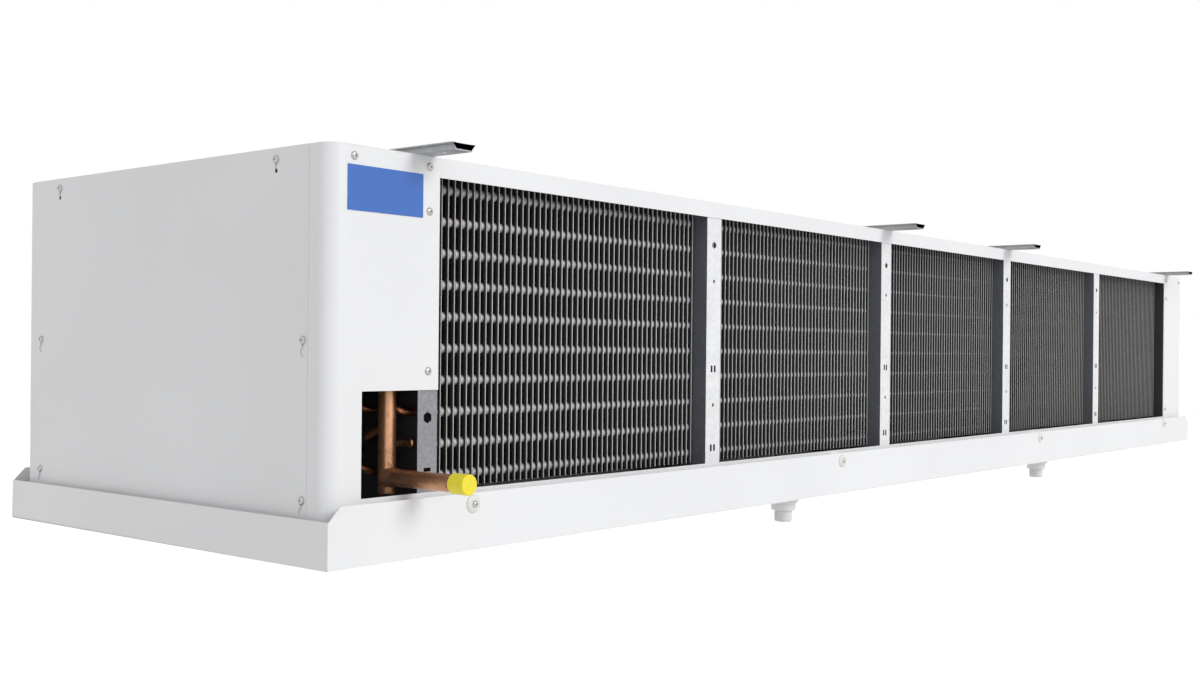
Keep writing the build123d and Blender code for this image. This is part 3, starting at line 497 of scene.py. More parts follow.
# A near-black finish for the screws' six-sided recesses: painted shade in the socket of a plain steel screw.
RECESS_PAINTED_SHADE = TurnedMetal("screw recess", (0.1, 0.1, 0.1), 0.5)
BRASS = TurnedMetal("turned brass", (0.75, 0.52, 0.22), 0.28)
CAP_YELLOW = MouldedPlastic("yellow cap", (0.93, 0.79, 0.035), 0.45)
OFF_WHITE = MouldedPlastic("off-white plastic", (0.8, 0.79, 0.74), 0.4)
DRAIN_WHITE = MouldedPlastic("white drain plastic", (0.8, 0.81, 0.815), 0.4)
BLADE_BLACK = MouldedPlastic("black blade plastic", (0.03, 0.03, 0.033), 0.42)
MOTOR_BLACK = PowderCoat("motor coat", (0.04, 0.04, 0.043), 0.45)


# ---- Shapes ----


@dataclass
class Shape:
    """Points and faces of one mesh, in metres in the row frame."""

    points: list[Vector] = field(default_factory=list)
    faces: list[tuple[int, ...]] = field(default_factory=list)
    paints: list[int] = field(default_factory=list)
    paint: int = 0

    def rings(
        self, rings: Sequence[Sequence[Vector]], closed: bool = True, caps: bool = True,
        paints: Sequence[int] | None = None,
    ) -> None:
        """Skin a row of rings that have the same number of points.

        Args:
            rings: The rings, in order.
            closed: Whether each ring's last point joins its first.
            caps: Whether the first and last rings are filled.
            paints: The paint of the skin after each ring, where it changes.
        """
        first = len(self.points)
        count = len(rings[0])
        for ring in rings:
            self.points.extend(Vector(point) for point in ring)
        span = count if closed else count - 1
        for row in range(len(rings) - 1):
            self.paint = paints[row] if paints else self.paint
            for step in range(span):
                low, high = first + row * count, first + (row + 1) * count
                after = (step + 1) % count
                self._face((low + step, low + after, high + after, high + step))
        if caps:
            self._face(tuple(first + step for step in reversed(range(count))))
            last = first + (len(rings) - 1) * count
            self._face(tuple(last + step for step in range(count)))

    def _face(self, corners: tuple[int, ...]) -> None:
        """Add one face in the current paint."""
        self.faces.append(corners)
        self.paints.append(self.paint)

    def turned(
        self, profile: Iterable[tuple[float, float]], seat: Matrix, sides: int = 40,
        closed: bool = False, paints: Sequence[int] | None = None,
    ) -> None:
        """Turn a profile about the seat's Z axis.

        Args:
            profile: Radius and height of each point; ends on the axis have radius 0.
            seat: The turned piece's place.
            sides: How many sides a full turn has.
            closed: Whether the profile is a loop, as in a ring.
            paints: The paint of the skin after each point, where it changes.
        """
        profile = list(profile)
        rings = []
        for radius, height in profile:
            rings.append([
                seat @ Vector((
                    max(radius, 1e-6) * math.cos(2 * math.pi * side / sides),
                    max(radius, 1e-6) * math.sin(2 * math.pi * side / sides),
                    height,
                ))
                for side in range(sides)
            ])
        if closed:
            rings.append(rings[0])
        self.rings(rings, caps=not closed, paints=paints)

    def swept(self, path: Sequence[Vector], radius: float, sides: int = 16, caps: bool = True) -> None:
        """Sweep a round bar along a path.

        Args:
            path: The bar's centre line.
            radius: The bar's radius.
            sides: How many sides it has.
            caps: Whether its ends are filled.
        """
        ways = []
        for index in range(len(path)):
            before = path[max(index - 1, 0)]
            after = path[min(index + 1, len(path) - 1)]
            ways.append((after - before).normalized())
        side_way = ways[0].orthogonal().normalized()
        rings = []
        for point, way in zip(path, ways):
            side_way = (side_way - way * side_way.dot(way)).normalized()
            third = way.cross(side_way)
            rings.append([
                point + radius * (
                    side_way * math.cos(2 * math.pi * side / sides)
                    + third * math.sin(2 * math.pi * side / sides)
                )
                for side in range(sides)
            ])
        self.rings(rings, caps=caps)

    def block(self, low: Sequence[float], high: Sequence[float]) -> None:
        """Add a box between two corners."""
        xs, ys, zs = zip(low, high)
        lower = [Vector((xs[i], ys[j], zs[0])) for i, j in ((0, 0), (1, 0), (1, 1), (0, 1))]
        upper = [Vector((point.x, point.y, zs[1])) for point in lower]
        self.rings([lower, upper])

    def object(
        self, name: str, finishes: Sequence[Finish], body: str, slot: Slot,
        stands_for: Sequence[str] = (), crease: float = 35.0, ease: float = 0.0,
    ) -> bpy.types.Object:
        """Make the object, dress it and let it ride on a body.

        Args:
            name: The piece's name.
            finishes: Its finishes, in the order of its paints.
            body: The CAD body that carries it.
            slot: The record's slot for the piece; not used.
            stands_for: The CAD nodes it replaces.
            crease: The angle in degrees from which an edge stays sharp.
            ease: The width of the bevel on sharp edges.

        Returns:
            The object.
        """
        mesh = bpy.data.meshes.new(name)
        mesh.from_pydata([tuple(point) for point in self.points], [], self.faces)
        mesh.polygons.foreach_set("material_index", self.paints)
        work = bmesh.new()
        work.from_mesh(mesh)
        bmesh.ops.remove_doubles(work, verts=work.verts, dist=2e-6)
        bmesh.ops.recalc_face_normals(work, faces=work.faces)
        finish_mesh(work, mesh, crease, ease)
        return place_piece(mesh, name, finishes, body, stands_for)


def finish_mesh(
    work: bmesh.types.BMesh, mesh: bpy.types.Mesh, crease: float, ease: float, broad: float = 0.0,
) -> None:
    """Ease the sharp edges of a mesh and shade the rest smooth.

    Args:
        work: The mesh in work; it is freed.
        mesh: The mesh data it is written to.
        crease: The angle in degrees from which an edge is sharp.
        ease: The width of the bevel, or 0 for none.
        broad: The width from which a face is shaded flat, or 0 for none.
    """
    limit = math.radians(crease)
    if ease > 0:
        sharp = [edge for edge in work.edges if edge.calc_face_angle(0) > limit]
        bmesh.ops.bevel(
            work, geom=sharp, offset=ease, offset_type="OFFSET", segments=2, profile=0.5,
            affect="EDGES", clamp_overlap=True,
        )
    for face in work.faces:
        longest = max(edge.calc_length() for edge in face.edges)
        face.smooth = not broad or face.calc_area() < broad * longest
    for edge in work.edges:
        edge.smooth = edge.is_manifold and edge.calc_face_angle(0) < limit
    work.to_mesh(mesh)
    work.free()


def place_piece(
    mesh: bpy.types.Mesh, name: str, finishes: Sequence[Finish], body: str,
    stands_for: Sequence[str],
) -> bpy.types.Object:
    """Turn a mesh into a piece of the model.

    Args:
        mesh: The finished mesh.
        name: The piece's name.
        finishes: Its finishes, in the order of its material indices.
        body: The CAD body that carries it.
        stands_for: The CAD nodes it replaces.

    Returns:
        The object.
    """
    piece = bpy.data.objects.new(name, mesh)
    bpy.context.scene.collection.objects.link(piece)
    for finish in finishes:
        mesh.materials.append(finish.material())
    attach(piece, body)
    if stands_for:
        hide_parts(*stands_for)
    flat = piece.modifiers.new("flat faces stay flat", "WEIGHTED_NORMAL")
    flat.keep_sharp = True
    LOG.info("%s: %d faces on body %s", name, len(mesh.polygons), body)
    return piece


def one_skin(mesh: bpy.types.Mesh) -> bpy.types.Mesh:
    """Join the solids of a mesh that meet face to face.

    Args:
        mesh: A mesh of several solids.

    Returns:
        A new mesh with one skin around them.
    """
    work = bmesh.new()
    work.from_mesh(mesh)
    bmesh.ops.remove_doubles(work, verts=work.verts, dist=2e-6)
    work.verts.index_update()
    first = max(islands(work), key=len)
    halves = []
    for keep_first in (True, False):
        half = work.copy()
        indices = {vert.index for vert in first}
        drop = [vert for vert in half.verts if (vert.index in indices) != keep_first]
        bmesh.ops.delete(half, geom=drop, context="VERTS")
        data = bpy.data.meshes.new("half")
        half.to_mesh(data)
        half.free()
        halves.append(bpy.data.objects.new("half", data))
        bpy.context.scene.collection.objects.link(halves[-1])
    work.free()
    join = halves[0].modifiers.new("join", "BOOLEAN")
    join.operation, join.solver, join.use_self, join.object = "UNION", "EXACT", True, halves[1]
    seen = halves[0].evaluated_get(bpy.context.evaluated_depsgraph_get())
    joined = bpy.data.meshes.new_from_object(seen)
    for half in halves:
        bpy.data.objects.remove(half)
    return joined


def round_folds(work: bmesh.types.BMesh, radius: float, sheet: float) -> None:
    """Round the folds of a sheet: the sharp edges between two broad faces.

    Args:
        work: The sheet in work.
        radius: The folds' outer radius.
        sheet: The sheet's thickness.
    """
    for convex, offset in ((True, radius), (False, max(radius - sheet, 0.2 * MM))):
        folds = []
        for edge in work.edges:
            if edge.calc_face_angle(0) < math.radians(30) or edge.is_convex != convex:
                continue
            least = 2.5 * sheet * edge.calc_length()
            if all(face.calc_area() > least for face in edge.link_faces):
                folds.append(edge)
        bmesh.ops.bevel(
            work, geom=folds, offset=offset, offset_type="OFFSET", segments=4, profile=0.5,
            affect="EDGES", clamp_overlap=True,
        )


def eased_sheet(
    node: str, finish: Finish, ease: float = 0.35 * MM, fold: float = 0.0,
    joined: bool = False, across: Finish | None = None,
) -> bpy.types.Object:
    """Copy a folded sheet of the frame, round its folds and ease its cut edges.

    Args:
        node: The CAD node.
        finish: The sheet's finish.
        ease: The width of the eased edge.
        fold: The folds' outer radius, where the frame has them sharp.
        joined: Whether the node's solids meet and become one sheet.
        across: Another finish for the faces that look along the cooler; it paints the shade that falls on
            them.

    Returns:
        The piece that stands for the node.
    """
    source = frame["nodes"][node]
    mesh = one_skin(source.data) if joined else source.data.copy()
    mesh.materials.clear()
    work = bmesh.new()
    work.from_mesh(mesh)
    bmesh.ops.remove_doubles(work, verts=work.verts, dist=2e-6)
    bmesh.ops.dissolve_limit(
        work, angle_limit=math.radians(0.5), verts=work.verts, edges=work.edges,
        use_dissolve_boundaries=False,
    )
    bmesh.ops.dissolve_degenerate(work, edges=work.edges, dist=5e-6)
    if fold:
        round_folds(work, fold, 1.5 * MM)
    finish_mesh(work, mesh, 30.0, ease, 20 * MM)
    # Faces that look along the cooler take the across finish, which paints the shade on them.
    mesh.polygons.foreach_set(
        "material_index", [int(bool(across) and abs(face.normal.x) > 0.7) for face in mesh.polygons]
    )
    finishes = [finish, across] if across else [finish]
    return place_piece(mesh, f"{node}_sheet", finishes, source["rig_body"], [node])


def islands(work: bmesh.types.BMesh) -> list[list[bmesh.types.BMVert]]:
    """Give the points of each separate solid of a mesh in work."""
    left = set(work.verts)
    found = []
    while left:
        group, reach = [], [left.pop()]
        while reach:
            vertex = reach.pop()
            group.append(vertex)
            for edge in vertex.link_edges:
                other = edge.other_vert(vertex)
                if other in left:
                    left.remove(other)
                    reach.append(other)
        found.append(group)
    return found


def loose_boxes(node: str) -> list[tuple[Vector, Vector]]:
    """Give the box of each separate solid of a CAD node.

    Args:
        node: The CAD node.

    Returns:
        The lowest and highest corner of each solid, sorted by their places.
    """
    work = bmesh.new()
    work.from_mesh(frame["nodes"][node].data)
    bmesh.ops.remove_doubles(work, verts=work.verts, dist=2e-6)
    boxes = []
    for group in islands(work):
        low = Vector([min(vert.co[axis] for vert in group) for axis in range(3)])
        high = Vector([max(vert.co[axis] for vert in group) for axis in range(3)])
        boxes.append((low, high))
    work.free()
    return sorted(boxes, key=lambda box: tuple(box[0]))


def facing(place: Vector, way: Vector) -> Matrix:
    """Give the seat at a place whose Z axis points a way."""
    return Matrix.Translation(place) @ way.to_track_quat("Z", "Y").to_matrix().to_4x4()


def rounded(points: Sequence[Vector], radius: float, steps: int = 8) -> list[Vector]:
    """Round the corners of a route.

    Args:
        points: The route's ends and corners.
        radius: The radius of its bends.
        steps: How many chords a bend has.

    Returns:
        The points of the rounded route.
    """
    route = [points[0].copy()]
    for before, corner, after in zip(points, points[1:], points[2:]):
        back, ahead = (before - corner).normalized(), (after - corner).normalized()
        half = back.angle(ahead) / 2
        reach = radius / math.tan(half)
        centre = corner + (back + ahead).normalized() * radius / math.sin(half)
        first = corner + back * reach - centre
        last = corner + ahead * reach - centre
        turn = first.angle(last)
        for step in range(steps + 1):
            share = step / steps
            arm = (
                first * math.sin((1 - share) * turn) + last * math.sin(share * turn)
            ) / math.sin(turn)
            route.append(centre + arm)
    route.append(points[-1].copy())
    return route


# ---- Casing ----


@dataclass
class Casing:
    """The white sheet casing, its blank plate and its screws."""

    head_radius: float = 5.2 * MM
    head_height: float = 2.9 * MM
    recess_radius: float = 1.3 * MM
    recess_depth: float = 0.9 * MM

    def build(self) -> None:
        """Build every piece of the casing."""
        for node in (
            "left_corner_shell", "right_corner_shell", "left_rear_corner", "right_rear_corner",
            "front_bottom_rail", "left_side_cover", "right_side_cover",
        ):
            eased_sheet(node, WHITE_COAT)
        eased_sheet("top_cover", WHITE_COAT, 0.3 * MM, 1.4 * MM, joined=True)
        eased_sheet("air_baffles", ZINC, 0.2 * MM)
        self.plate()
        self.screws("left_cover_screws", -ALONG)
        self.screws("right_cover_screws", ALONG)
        self.screws("shell_screws", FORWARD)

    def plate(self) -> None:
        """Build the blank blue plate with eased corners."""
        low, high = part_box("blank_plate")
        shape = Shape()
        shape.block(low, high)
        shape.object(
            "blank_plate_face", [BLUE_COAT], "cabinet", Slot.BLUE_PLATE, ["blank_plate"],
            ease=0.25 * MM,
        )

    def screws(self, node: str, way: Vector) -> None:
        """Build the domed screws that stand for a node of plain ones.

        Args:
            node: The CAD node.
            way: The way the heads face.
        """
        shape = Shape()
        for low, high in loose_boxes(node):
            self.dome(shape, self.seat_of(low, high, way, self.head_height + 0.1 * MM))
        shape.object(f"{node}_domes", [STAINLESS, RECESS_PAINTED_SHADE], "cabinet", Slot.STAINLESS, [node])

    @staticmethod
    def seat_of(low: Vector, high: Vector, way: Vector, height: float) -> Matrix:
        """Find where the underside of a screw's head lies.

        Args:
            low: The lowest corner of the screw's box.
            high: The highest corner of the screw's box.
            way: The way the head faces.
            height: The head's height.

        Returns:
            The head's seat, with its Z axis out of the sheet.
        """
        place = (low + high) / 2
        for axis in range(3):
            if way[axis]:
                outer = high[axis] if way[axis] > 0 else low[axis]
                place[axis] = outer - way[axis] * height
        return facing(place, way)

    def dome(self, shape: Shape, seat: Matrix) -> None:
        """Add one domed head with a six-sided recess to a shape."""
        inner = self.recess_radius
        profile = [(self.head_radius * 0.94, 0.0), (self.head_radius, 0.25 * MM)]
        for step in range(1, 9):
            turn = math.radians(90 - 9.2 * step)
            profile.append((
                inner + (self.head_radius - inner) * math.sin(turn),
                0.25 * MM + (self.head_height - 0.25 * MM) * math.cos(turn),
            ))
        profile.append((inner, self.head_height))
        shape.paint = 0
        shape.turned([(0.0, 0.0), *profile, (inner, self.head_height)], seat, 30)
        # The recess takes the second finish, which is painted shade.
        shape.paint = 1
        floor = self.head_height + 0.02 * MM
        shape.turned(
            [(0.0, floor), (inner * 0.98, floor), (inner * 0.98, floor - self.recess_depth),
             (0.0, floor - self.recess_depth)],
            seat, 6,
        )
        shape.paint = 0


# ---- Finned coil ----


@dataclass
class Coil:
    """The fins, the collared tubes, the tube sheets and the return bends.

    Between the tube sheets the tubes have a grid of their own, set by front_inset,
    lower_inset and bay_row_pitch: it lies forward of the frame's and has wider rows.
    """

    rows: int = 10
    columns: int = 4
    fins: int = 50
    hem: float = 0.9 * MM
    hem_depth: float = 1.6 * MM
    ripple: float = 0.5 * MM
    ripple_length: float = 17.3 * MM
    collar_radius: float = 6.5 * MM
    collar_flare: float = 6.9 * MM
    bare: float = 6.6 * MM
    front_inset: float = 11.3 * MM
    lower_inset: float = 16 * MM
    bay_row_pitch: float = 41.6 * MM
    # Depth behind the leading edge at which each bay's painted shade begins; it is shallower in the far
    # bays, which paints them darker.
    shade_starts: tuple[float, ...] = (1.3 * MM, 1.25 * MM, 0.85 * MM, 0.75 * MM, 0.7 * MM)
    bend_steps: int = 14
    fin_thickness: float = 0.4 * MM
    tube_radius: float = 6 * MM
    row_pitch: float = field(init=False)
    column_pitch: float = field(init=False)
    first: Vector = field(init=False)

    def __post_init__(self) -> None:
        """Read the coil's grid from the frame."""
        low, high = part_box("coil_tubes")
        half_height = self.tube_radius * math.cos(math.radians(30))
        self.row_pitch = (high.z - low.z - 2 * half_height) / (self.rows - 0.5)
        self.column_pitch = (high.y - low.y - 2 * self.tube_radius) / (self.columns - 1)
        self.first = Vector((low.x, low.y + self.tube_radius, low.z + half_height))

    def tube(self, column: int, row: int) -> tuple[float, float]:
        """Give the Y and Z of a tube; every second column stands half a pitch higher."""
        return (
            self.first.y + self.column_pitch * column,
            self.first.z + self.row_pitch * (row + 0.5 * (column % 2)),
        )

    def build(self) -> None:
        """Build every piece of the coil."""
        for number in range(1, 6):
            self.fin_pack(number)
        self.collared_tubes()
        self.bends()
        # The end sheets take the darker galvanised copy (painted shade) and the tube sheets the lighter one
        # (painted light); their faces that look along the cooler take painted shade.
        for node in ("left_end_sheet", "right_end_sheet"):
            eased_sheet(
                node, PAINTED_SHADE_ZINC, 0.3 * MM, 2.5 * MM, across=END_WEB_PAINTED_SHADE
            )
        for number in range(1, 5):
            eased_sheet(
                f"tube_sheet_{number}", PAINTED_LIGHT_ZINC, 0.3 * MM, 2.5 * MM,
                across=WEB_PAINTED_SHADE,
            )

    def fin_pack(self, number: int) -> None:
        """Build one bay of rippled fins with a hemmed leading edge.

        Args:
            number: The bay, from 1 at the pipe end.
        """
        low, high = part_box(f"fin_pack_{number}")
        thickness = self.fin_thickness
        pitch = (high.x - low.x - thickness) / (self.fins - 1)
        steps = 16
        depth = high.y - low.y
        shape = Shape()
        for fin in range(self.fins):
            centre = low.x + thickness / 2 + pitch * fin
            half = self.hem / 2
            sections = [(low.y, centre, half * 0.8), (low.y + 0.15 * MM, centre, half)]
            sections.append((low.y + self.hem_depth, centre, half))
            start = low.y + self.hem_depth + 0.4 * MM
            for step in range(steps + 1):
                share = step / steps
                wave = math.sin(2 * math.pi * share * (depth - self.hem_depth) / self.ripple_length)
                calm = min(1.0, 4 * share, 4 * (1 - share))
                y = start + (high.y - start) * share
                sections.append((y, centre + self.ripple * wave * calm, thickness / 2))
            rings = [
                [
                    Vector((x - reach, y, low.z)), Vector((x + reach, y, low.z)),
                    Vector((x + reach, y, high.z)), Vector((x - reach, y, high.z)),
                ]
                for y, x, reach in sections
            ]
            for ring in rings:
                for point in ring:
                    point.x = min(max(point.x, low.x), high.x)
            shape.rings(rings)
        # The strip's colour behind its leading edge is painted shade, beginning at this bay's depth.
        stock = FinStock(
            f"fin strip {number}", (0.8, 0.785, 0.77), 0.5, front=low.y,
            shade_start=self.shade_starts[number - 1],
        )
        shape.object(
            f"fin_pack_{number}_fins", [stock], "cabinet", Slot.FIN, [f"fin_pack_{number}"],
            crease=50.0,
        )

    def collared_tubes(self) -> None:
        """Build the tubes, with the fins' flared collars on the column that shows."""
        low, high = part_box("coil_tubes")
        first_web, last_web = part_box("fin_pack_1")[0].x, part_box("fin_pack_5")[1].x
        front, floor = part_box("fin_pack_1")[0].y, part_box("fin_pack_1")[0].z
        fins = []
        for number in range(1, 6):
            pack_low, pack_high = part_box(f"fin_pack_{number}")
            step = (pack_high.x - pack_low.x) / (self.fins - 1)
            fins += [pack_low.x + step * fin for fin in range(self.fins)]
        shape = Shape()
        for column in range(self.columns):
            for row in range(self.rows):
                y, z = self.tube(column, row)
                for start, end in ((low.x, first_web), (last_web, high.x)):
                    self.plain_tube(shape, y, z, start, end)
                y = front + self.front_inset + self.column_pitch * column
                z = floor + self.lower_inset + self.bay_row_pitch * (row + 0.5 * (column % 2))
                if column:
                    self.plain_tube(shape, y, z, first_web, last_web)
                else:
                    self.collared_tube(shape, y, z, fins)
        shape.object(
            "coil_tubes_collared", [COLLAR, COPPER_IN_PAINTED_SHADE], "cabinet", Slot.COPPER, ["coil_tubes"]
        )

    def plain_tube(self, shape: Shape, y: float, z: float, start: float, end: float) -> None:
        """Add a bare stretch of tube between two places along the cooler."""
        shape.paint = 1
        seat = facing(Vector((0, y, z)), ALONG)
        radius = self.tube_radius
        shape.turned([(0, start), (radius, start), (radius, end), (0, end)], seat, 20)

    def collared_tube(self, shape: Shape, y: float, z: float, fins: Sequence[float]) -> None:
        """Add a tube that shows its copper before each fin's collar.

        Args:
            shape: The tubes' shape.
            y: The tube's Y.
            z: The tube's Z.
            fins: The X of every fin.
        """
        profile, paints = [(0.0, fins[0])], [1]
        for place, after in zip(fins, fins[1:]):
            start = place + self.bare if after - place < 2 * self.bare else after - self.bare
            profile += [
                (self.tube_radius, place), (self.tube_radius, start),
                (self.collar_radius, start + 0.2 * MM), (self.collar_radius, after - 1.6 * MM),
                (self.collar_flare, after - 0.2 * MM),
            ]
            paints += [1, 0, 0, 0, 0]
        profile += [(self.tube_radius, fins[-1]), (0.0, fins[-1])]
        paints += [1]
        shape.turned(profile, facing(Vector((0, y, z)), ALONG), 12, paints=paints)

    def bends(self) -> None:
        """Build the round return bends at both ends."""
        shape = Shape()
        x_left, x_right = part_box("coil_tubes")[0].x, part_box("coil_tubes")[1].x
        for low, high in loose_boxes("return_bends"):
            end = Side.LEFT if high.x < 0 else Side.RIGHT
            x_start = x_left if end is Side.LEFT else x_right
            centres = self.bend_ends(low, high)
            first, second = (Vector((x_start, y, z)) for y, z in centres)
            self.bend(shape, first, second, end)
        shape.object(
            "return_bends_round", [COPPER_IN_PAINTED_SHADE], "cabinet", Slot.COPPER, ["return_bends"]
        )

    def bend_ends(self, low: Vector, high: Vector) -> list[tuple[float, float]]:
        """Find the two tubes that a bend joins.

        Args:
            low: The lowest corner of the bend's box.
            high: The highest corner of the bend's box.

        Returns:
            The Y and Z of both tubes.
        """
        tubes = [
            self.tube(column, row) for column in range(self.columns) for row in range(self.rows)
        ]
        return [
            (y, z) for y, z in tubes if low.y < y < high.y and low.z < z < high.z
        ][:2]

    def bend(self, shape: Shape, first: Vector, second: Vector, end: Side) -> None:
        """Add one U-bend to a shape."""
        out = Vector((end.value, 0, 0))
        middle, reach = (first + second) / 2, (first - second) / 2
        leg = 3 * MM
        path = [first.copy()]
        for step in range(self.bend_steps + 1):
            turn = math.pi * step / self.bend_steps
            path.append(
                middle + reach * math.cos(turn) + out * (leg + reach.length * math.sin(turn))
            )
        path.append(second.copy())
        shape.swept(path, self.tube_radius * 0.97, 16)


# ---- Pipework ----


@dataclass
class Pipework:
    """The suction header, its capped outlet, the distributor and the feed tubes."""

    header_radius: float = 11.5 * MM
    pipe_radius: float = 11 * MM
    leg_radius: float = 4.4 * MM
    braze_radius: float = 6.2 * MM
    fillet: float = 4.5 * MM
    feed_radius: float = 3 * MM
    feed_bend: float = 13 * MM
    liquid_radius: float = 6 * MM
    liquid_bend: float = 26 * MM
    feed_step: float = 9 * MM

    def build(self, coil: Coil) -> None:
        """Build every pipe.

        Args:
            coil: The coil whose tubes the pipes reach.
        """
        self.header(coil)
        self.cap()
        self.feeds(coil)
        self.liquid()

    def header(self, coil: Coil) -> None:
        """Build the header with its legs and its outlet."""
        low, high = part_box("suction_header")
        outlet_z = sum((corner.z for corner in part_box("suction_cap")), 0.0) / 2
        axis = Vector((low.x + self.header_radius, coil.first.y, 0))
        shape = Shape()
        radius = self.header_radius
        top, bottom = high.z, low.z
        shape.turned(
            [(0, bottom), (radius - 1.5 * MM, bottom), (radius - 0.4 * MM, bottom + 0.5 * MM),
             (radius, bottom + 2 * MM), (radius, top - 3 * MM), (radius - 1.2 * MM, top - 0.8 * MM),
             (radius - 3.5 * MM, top), (0, top)],
            Matrix.Translation(axis), 48,
        )
        for circuit in range(coil.rows // 2):
            y, z = coil.tube(0, 2 * circuit + 1)
            start = Vector((axis.x, y, z))
            seat = facing(start, ALONG)
            reach = high.x - axis.x
            root = radius - 1 * MM
            shape.turned(
                [(0, 0), (self.leg_radius + 3 * MM, root - 2 * MM),
                 (self.leg_radius + 1 * MM, root + 1.2 * MM), (self.leg_radius, root + 3 * MM),
                 (self.leg_radius, reach - 5 * MM), (self.braze_radius, reach - 3.5 * MM),
                 (self.braze_radius, reach - 1 * MM), (self.leg_radius, reach), (0, reach)],
                seat, 24,
            )
        outlet = Vector((axis.x, axis.y, outlet_z))
        radius = self.pipe_radius
        seat = facing(outlet, FORWARD)
        length = axis.y - low.y
        shape.turned(
            [(0, 0), (radius + self.fillet, radius * 0.35), (radius + 1.6 * MM, radius + 1.5 * MM),
             (radius + 0.4 * MM, radius + 4 * MM), (radius - 0.05 * MM, radius + 7 * MM),
             (radius - 0.05 * MM, length), (radius - 1 * MM, length),
             (radius - 1 * MM, length - 30 * MM), (0, length - 30 * MM)],
            seat, 48,
        )
        shape.object(
            "suction_header_pipe", [COPPER], "cabinet", Slot.COPPER, ["suction_header"]
        )

    def cap(self) -> None:
        """Build the push-on cap with its rounded end."""
        low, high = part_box("suction_cap")
        centre = (low + high) / 2
        radius = (high.x - low.x) / 2
        length = high.y - low.y
        seat = facing(Vector((centre.x, high.y, centre.z)), FORWARD)
        bore = self.pipe_radius + 0.25 * MM
        round_edge = 1.3 * MM
        profile = [(bore, 0.0), (radius - 0.3 * MM, 0.0), (radius, 0.4 * MM)]
        for step in range(6):
            turn = math.radians(18 * step)
            profile.append((
                radius - round_edge + round_edge * math.cos(turn),
                length - round_edge + round_edge * math.sin(turn),
            ))
        inner = length - 1.5 * MM
        shape = Shape()
        shape.turned([(0.0, inner), (bore, inner), *profile, (0.0, length)], seat, 48)
        shape.object("suction_cap_moulding", [CAP_YELLOW], "suction_cap", Slot.CAP, ["suction_cap"])

    def feeds(self, coil: Coil) -> None:
        """Build the distributor and the bent feed tubes."""
        low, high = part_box("distributor")
        centre = (low + high) / 2
        radius = (high.x - low.x) / 2
        seat = facing(Vector((centre.x, low.y, centre.z)), REARWARD)
        length = high.y - low.y
        shape = Shape()
        shape.turned(
            [(0, 0), (radius * 0.93, 0), (radius, 1.5 * MM), (radius, length * 0.32),
             (radius * 0.8, length * 0.45), (radius * 0.42, length * 0.8),
             (radius * 0.33, length * 0.92), (radius * 0.29, length), (0, length)],
            seat, 40,
        )
        shape.object("distributor_turned", [BRASS], "cabinet", Slot.BRASS, ["distributor"])
        tubes = Shape()
        ring = 2 * self.feed_step
        for circuit, step in enumerate((1, 2, 0, -1, -2)):
            y_in, z_in = coil.tube(coil.columns - 1, 2 * circuit + 1)
            x_run = centre.x + step * self.feed_step
            rise = math.sqrt(ring**2 - (step * self.feed_step) ** 2)
            z_run = centre.z + math.copysign(rise, z_in - centre.z)
            route = [
                Vector((x_run, low.y, z_run)), Vector((x_run, y_in, z_run)),
                Vector((x_run, y_in, z_in)), Vector((coil.first.x, y_in, z_in)),
            ]
            tubes.swept(rounded(route, self.feed_bend), self.feed_radius, 14)
        tubes.object("feed_tubes_round", [COPPER_IN_PAINTED_SHADE], "cabinet", Slot.COPPER, ["feed_capillaries"])

    def liquid(self) -> None:
        """Build the liquid line with its long bend."""
        low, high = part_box("liquid_line")
        x = (low.x + high.x) / 2
        z = high.z - self.liquid_radius
        y_down = high.y - self.liquid_radius
        route = [Vector((x, low.y, z)), Vector((x, y_down, z)), Vector((x, y_down, low.z))]
        shape = Shape()
        shape.swept(rounded(route, self.liquid_bend, 12), self.liquid_radius * 0.97, 20)
        shape.object("liquid_line_round", [COPPER_IN_PAINTED_SHADE], "cabinet", Slot.COPPER, ["liquid_line"])


# ---- Fans ----


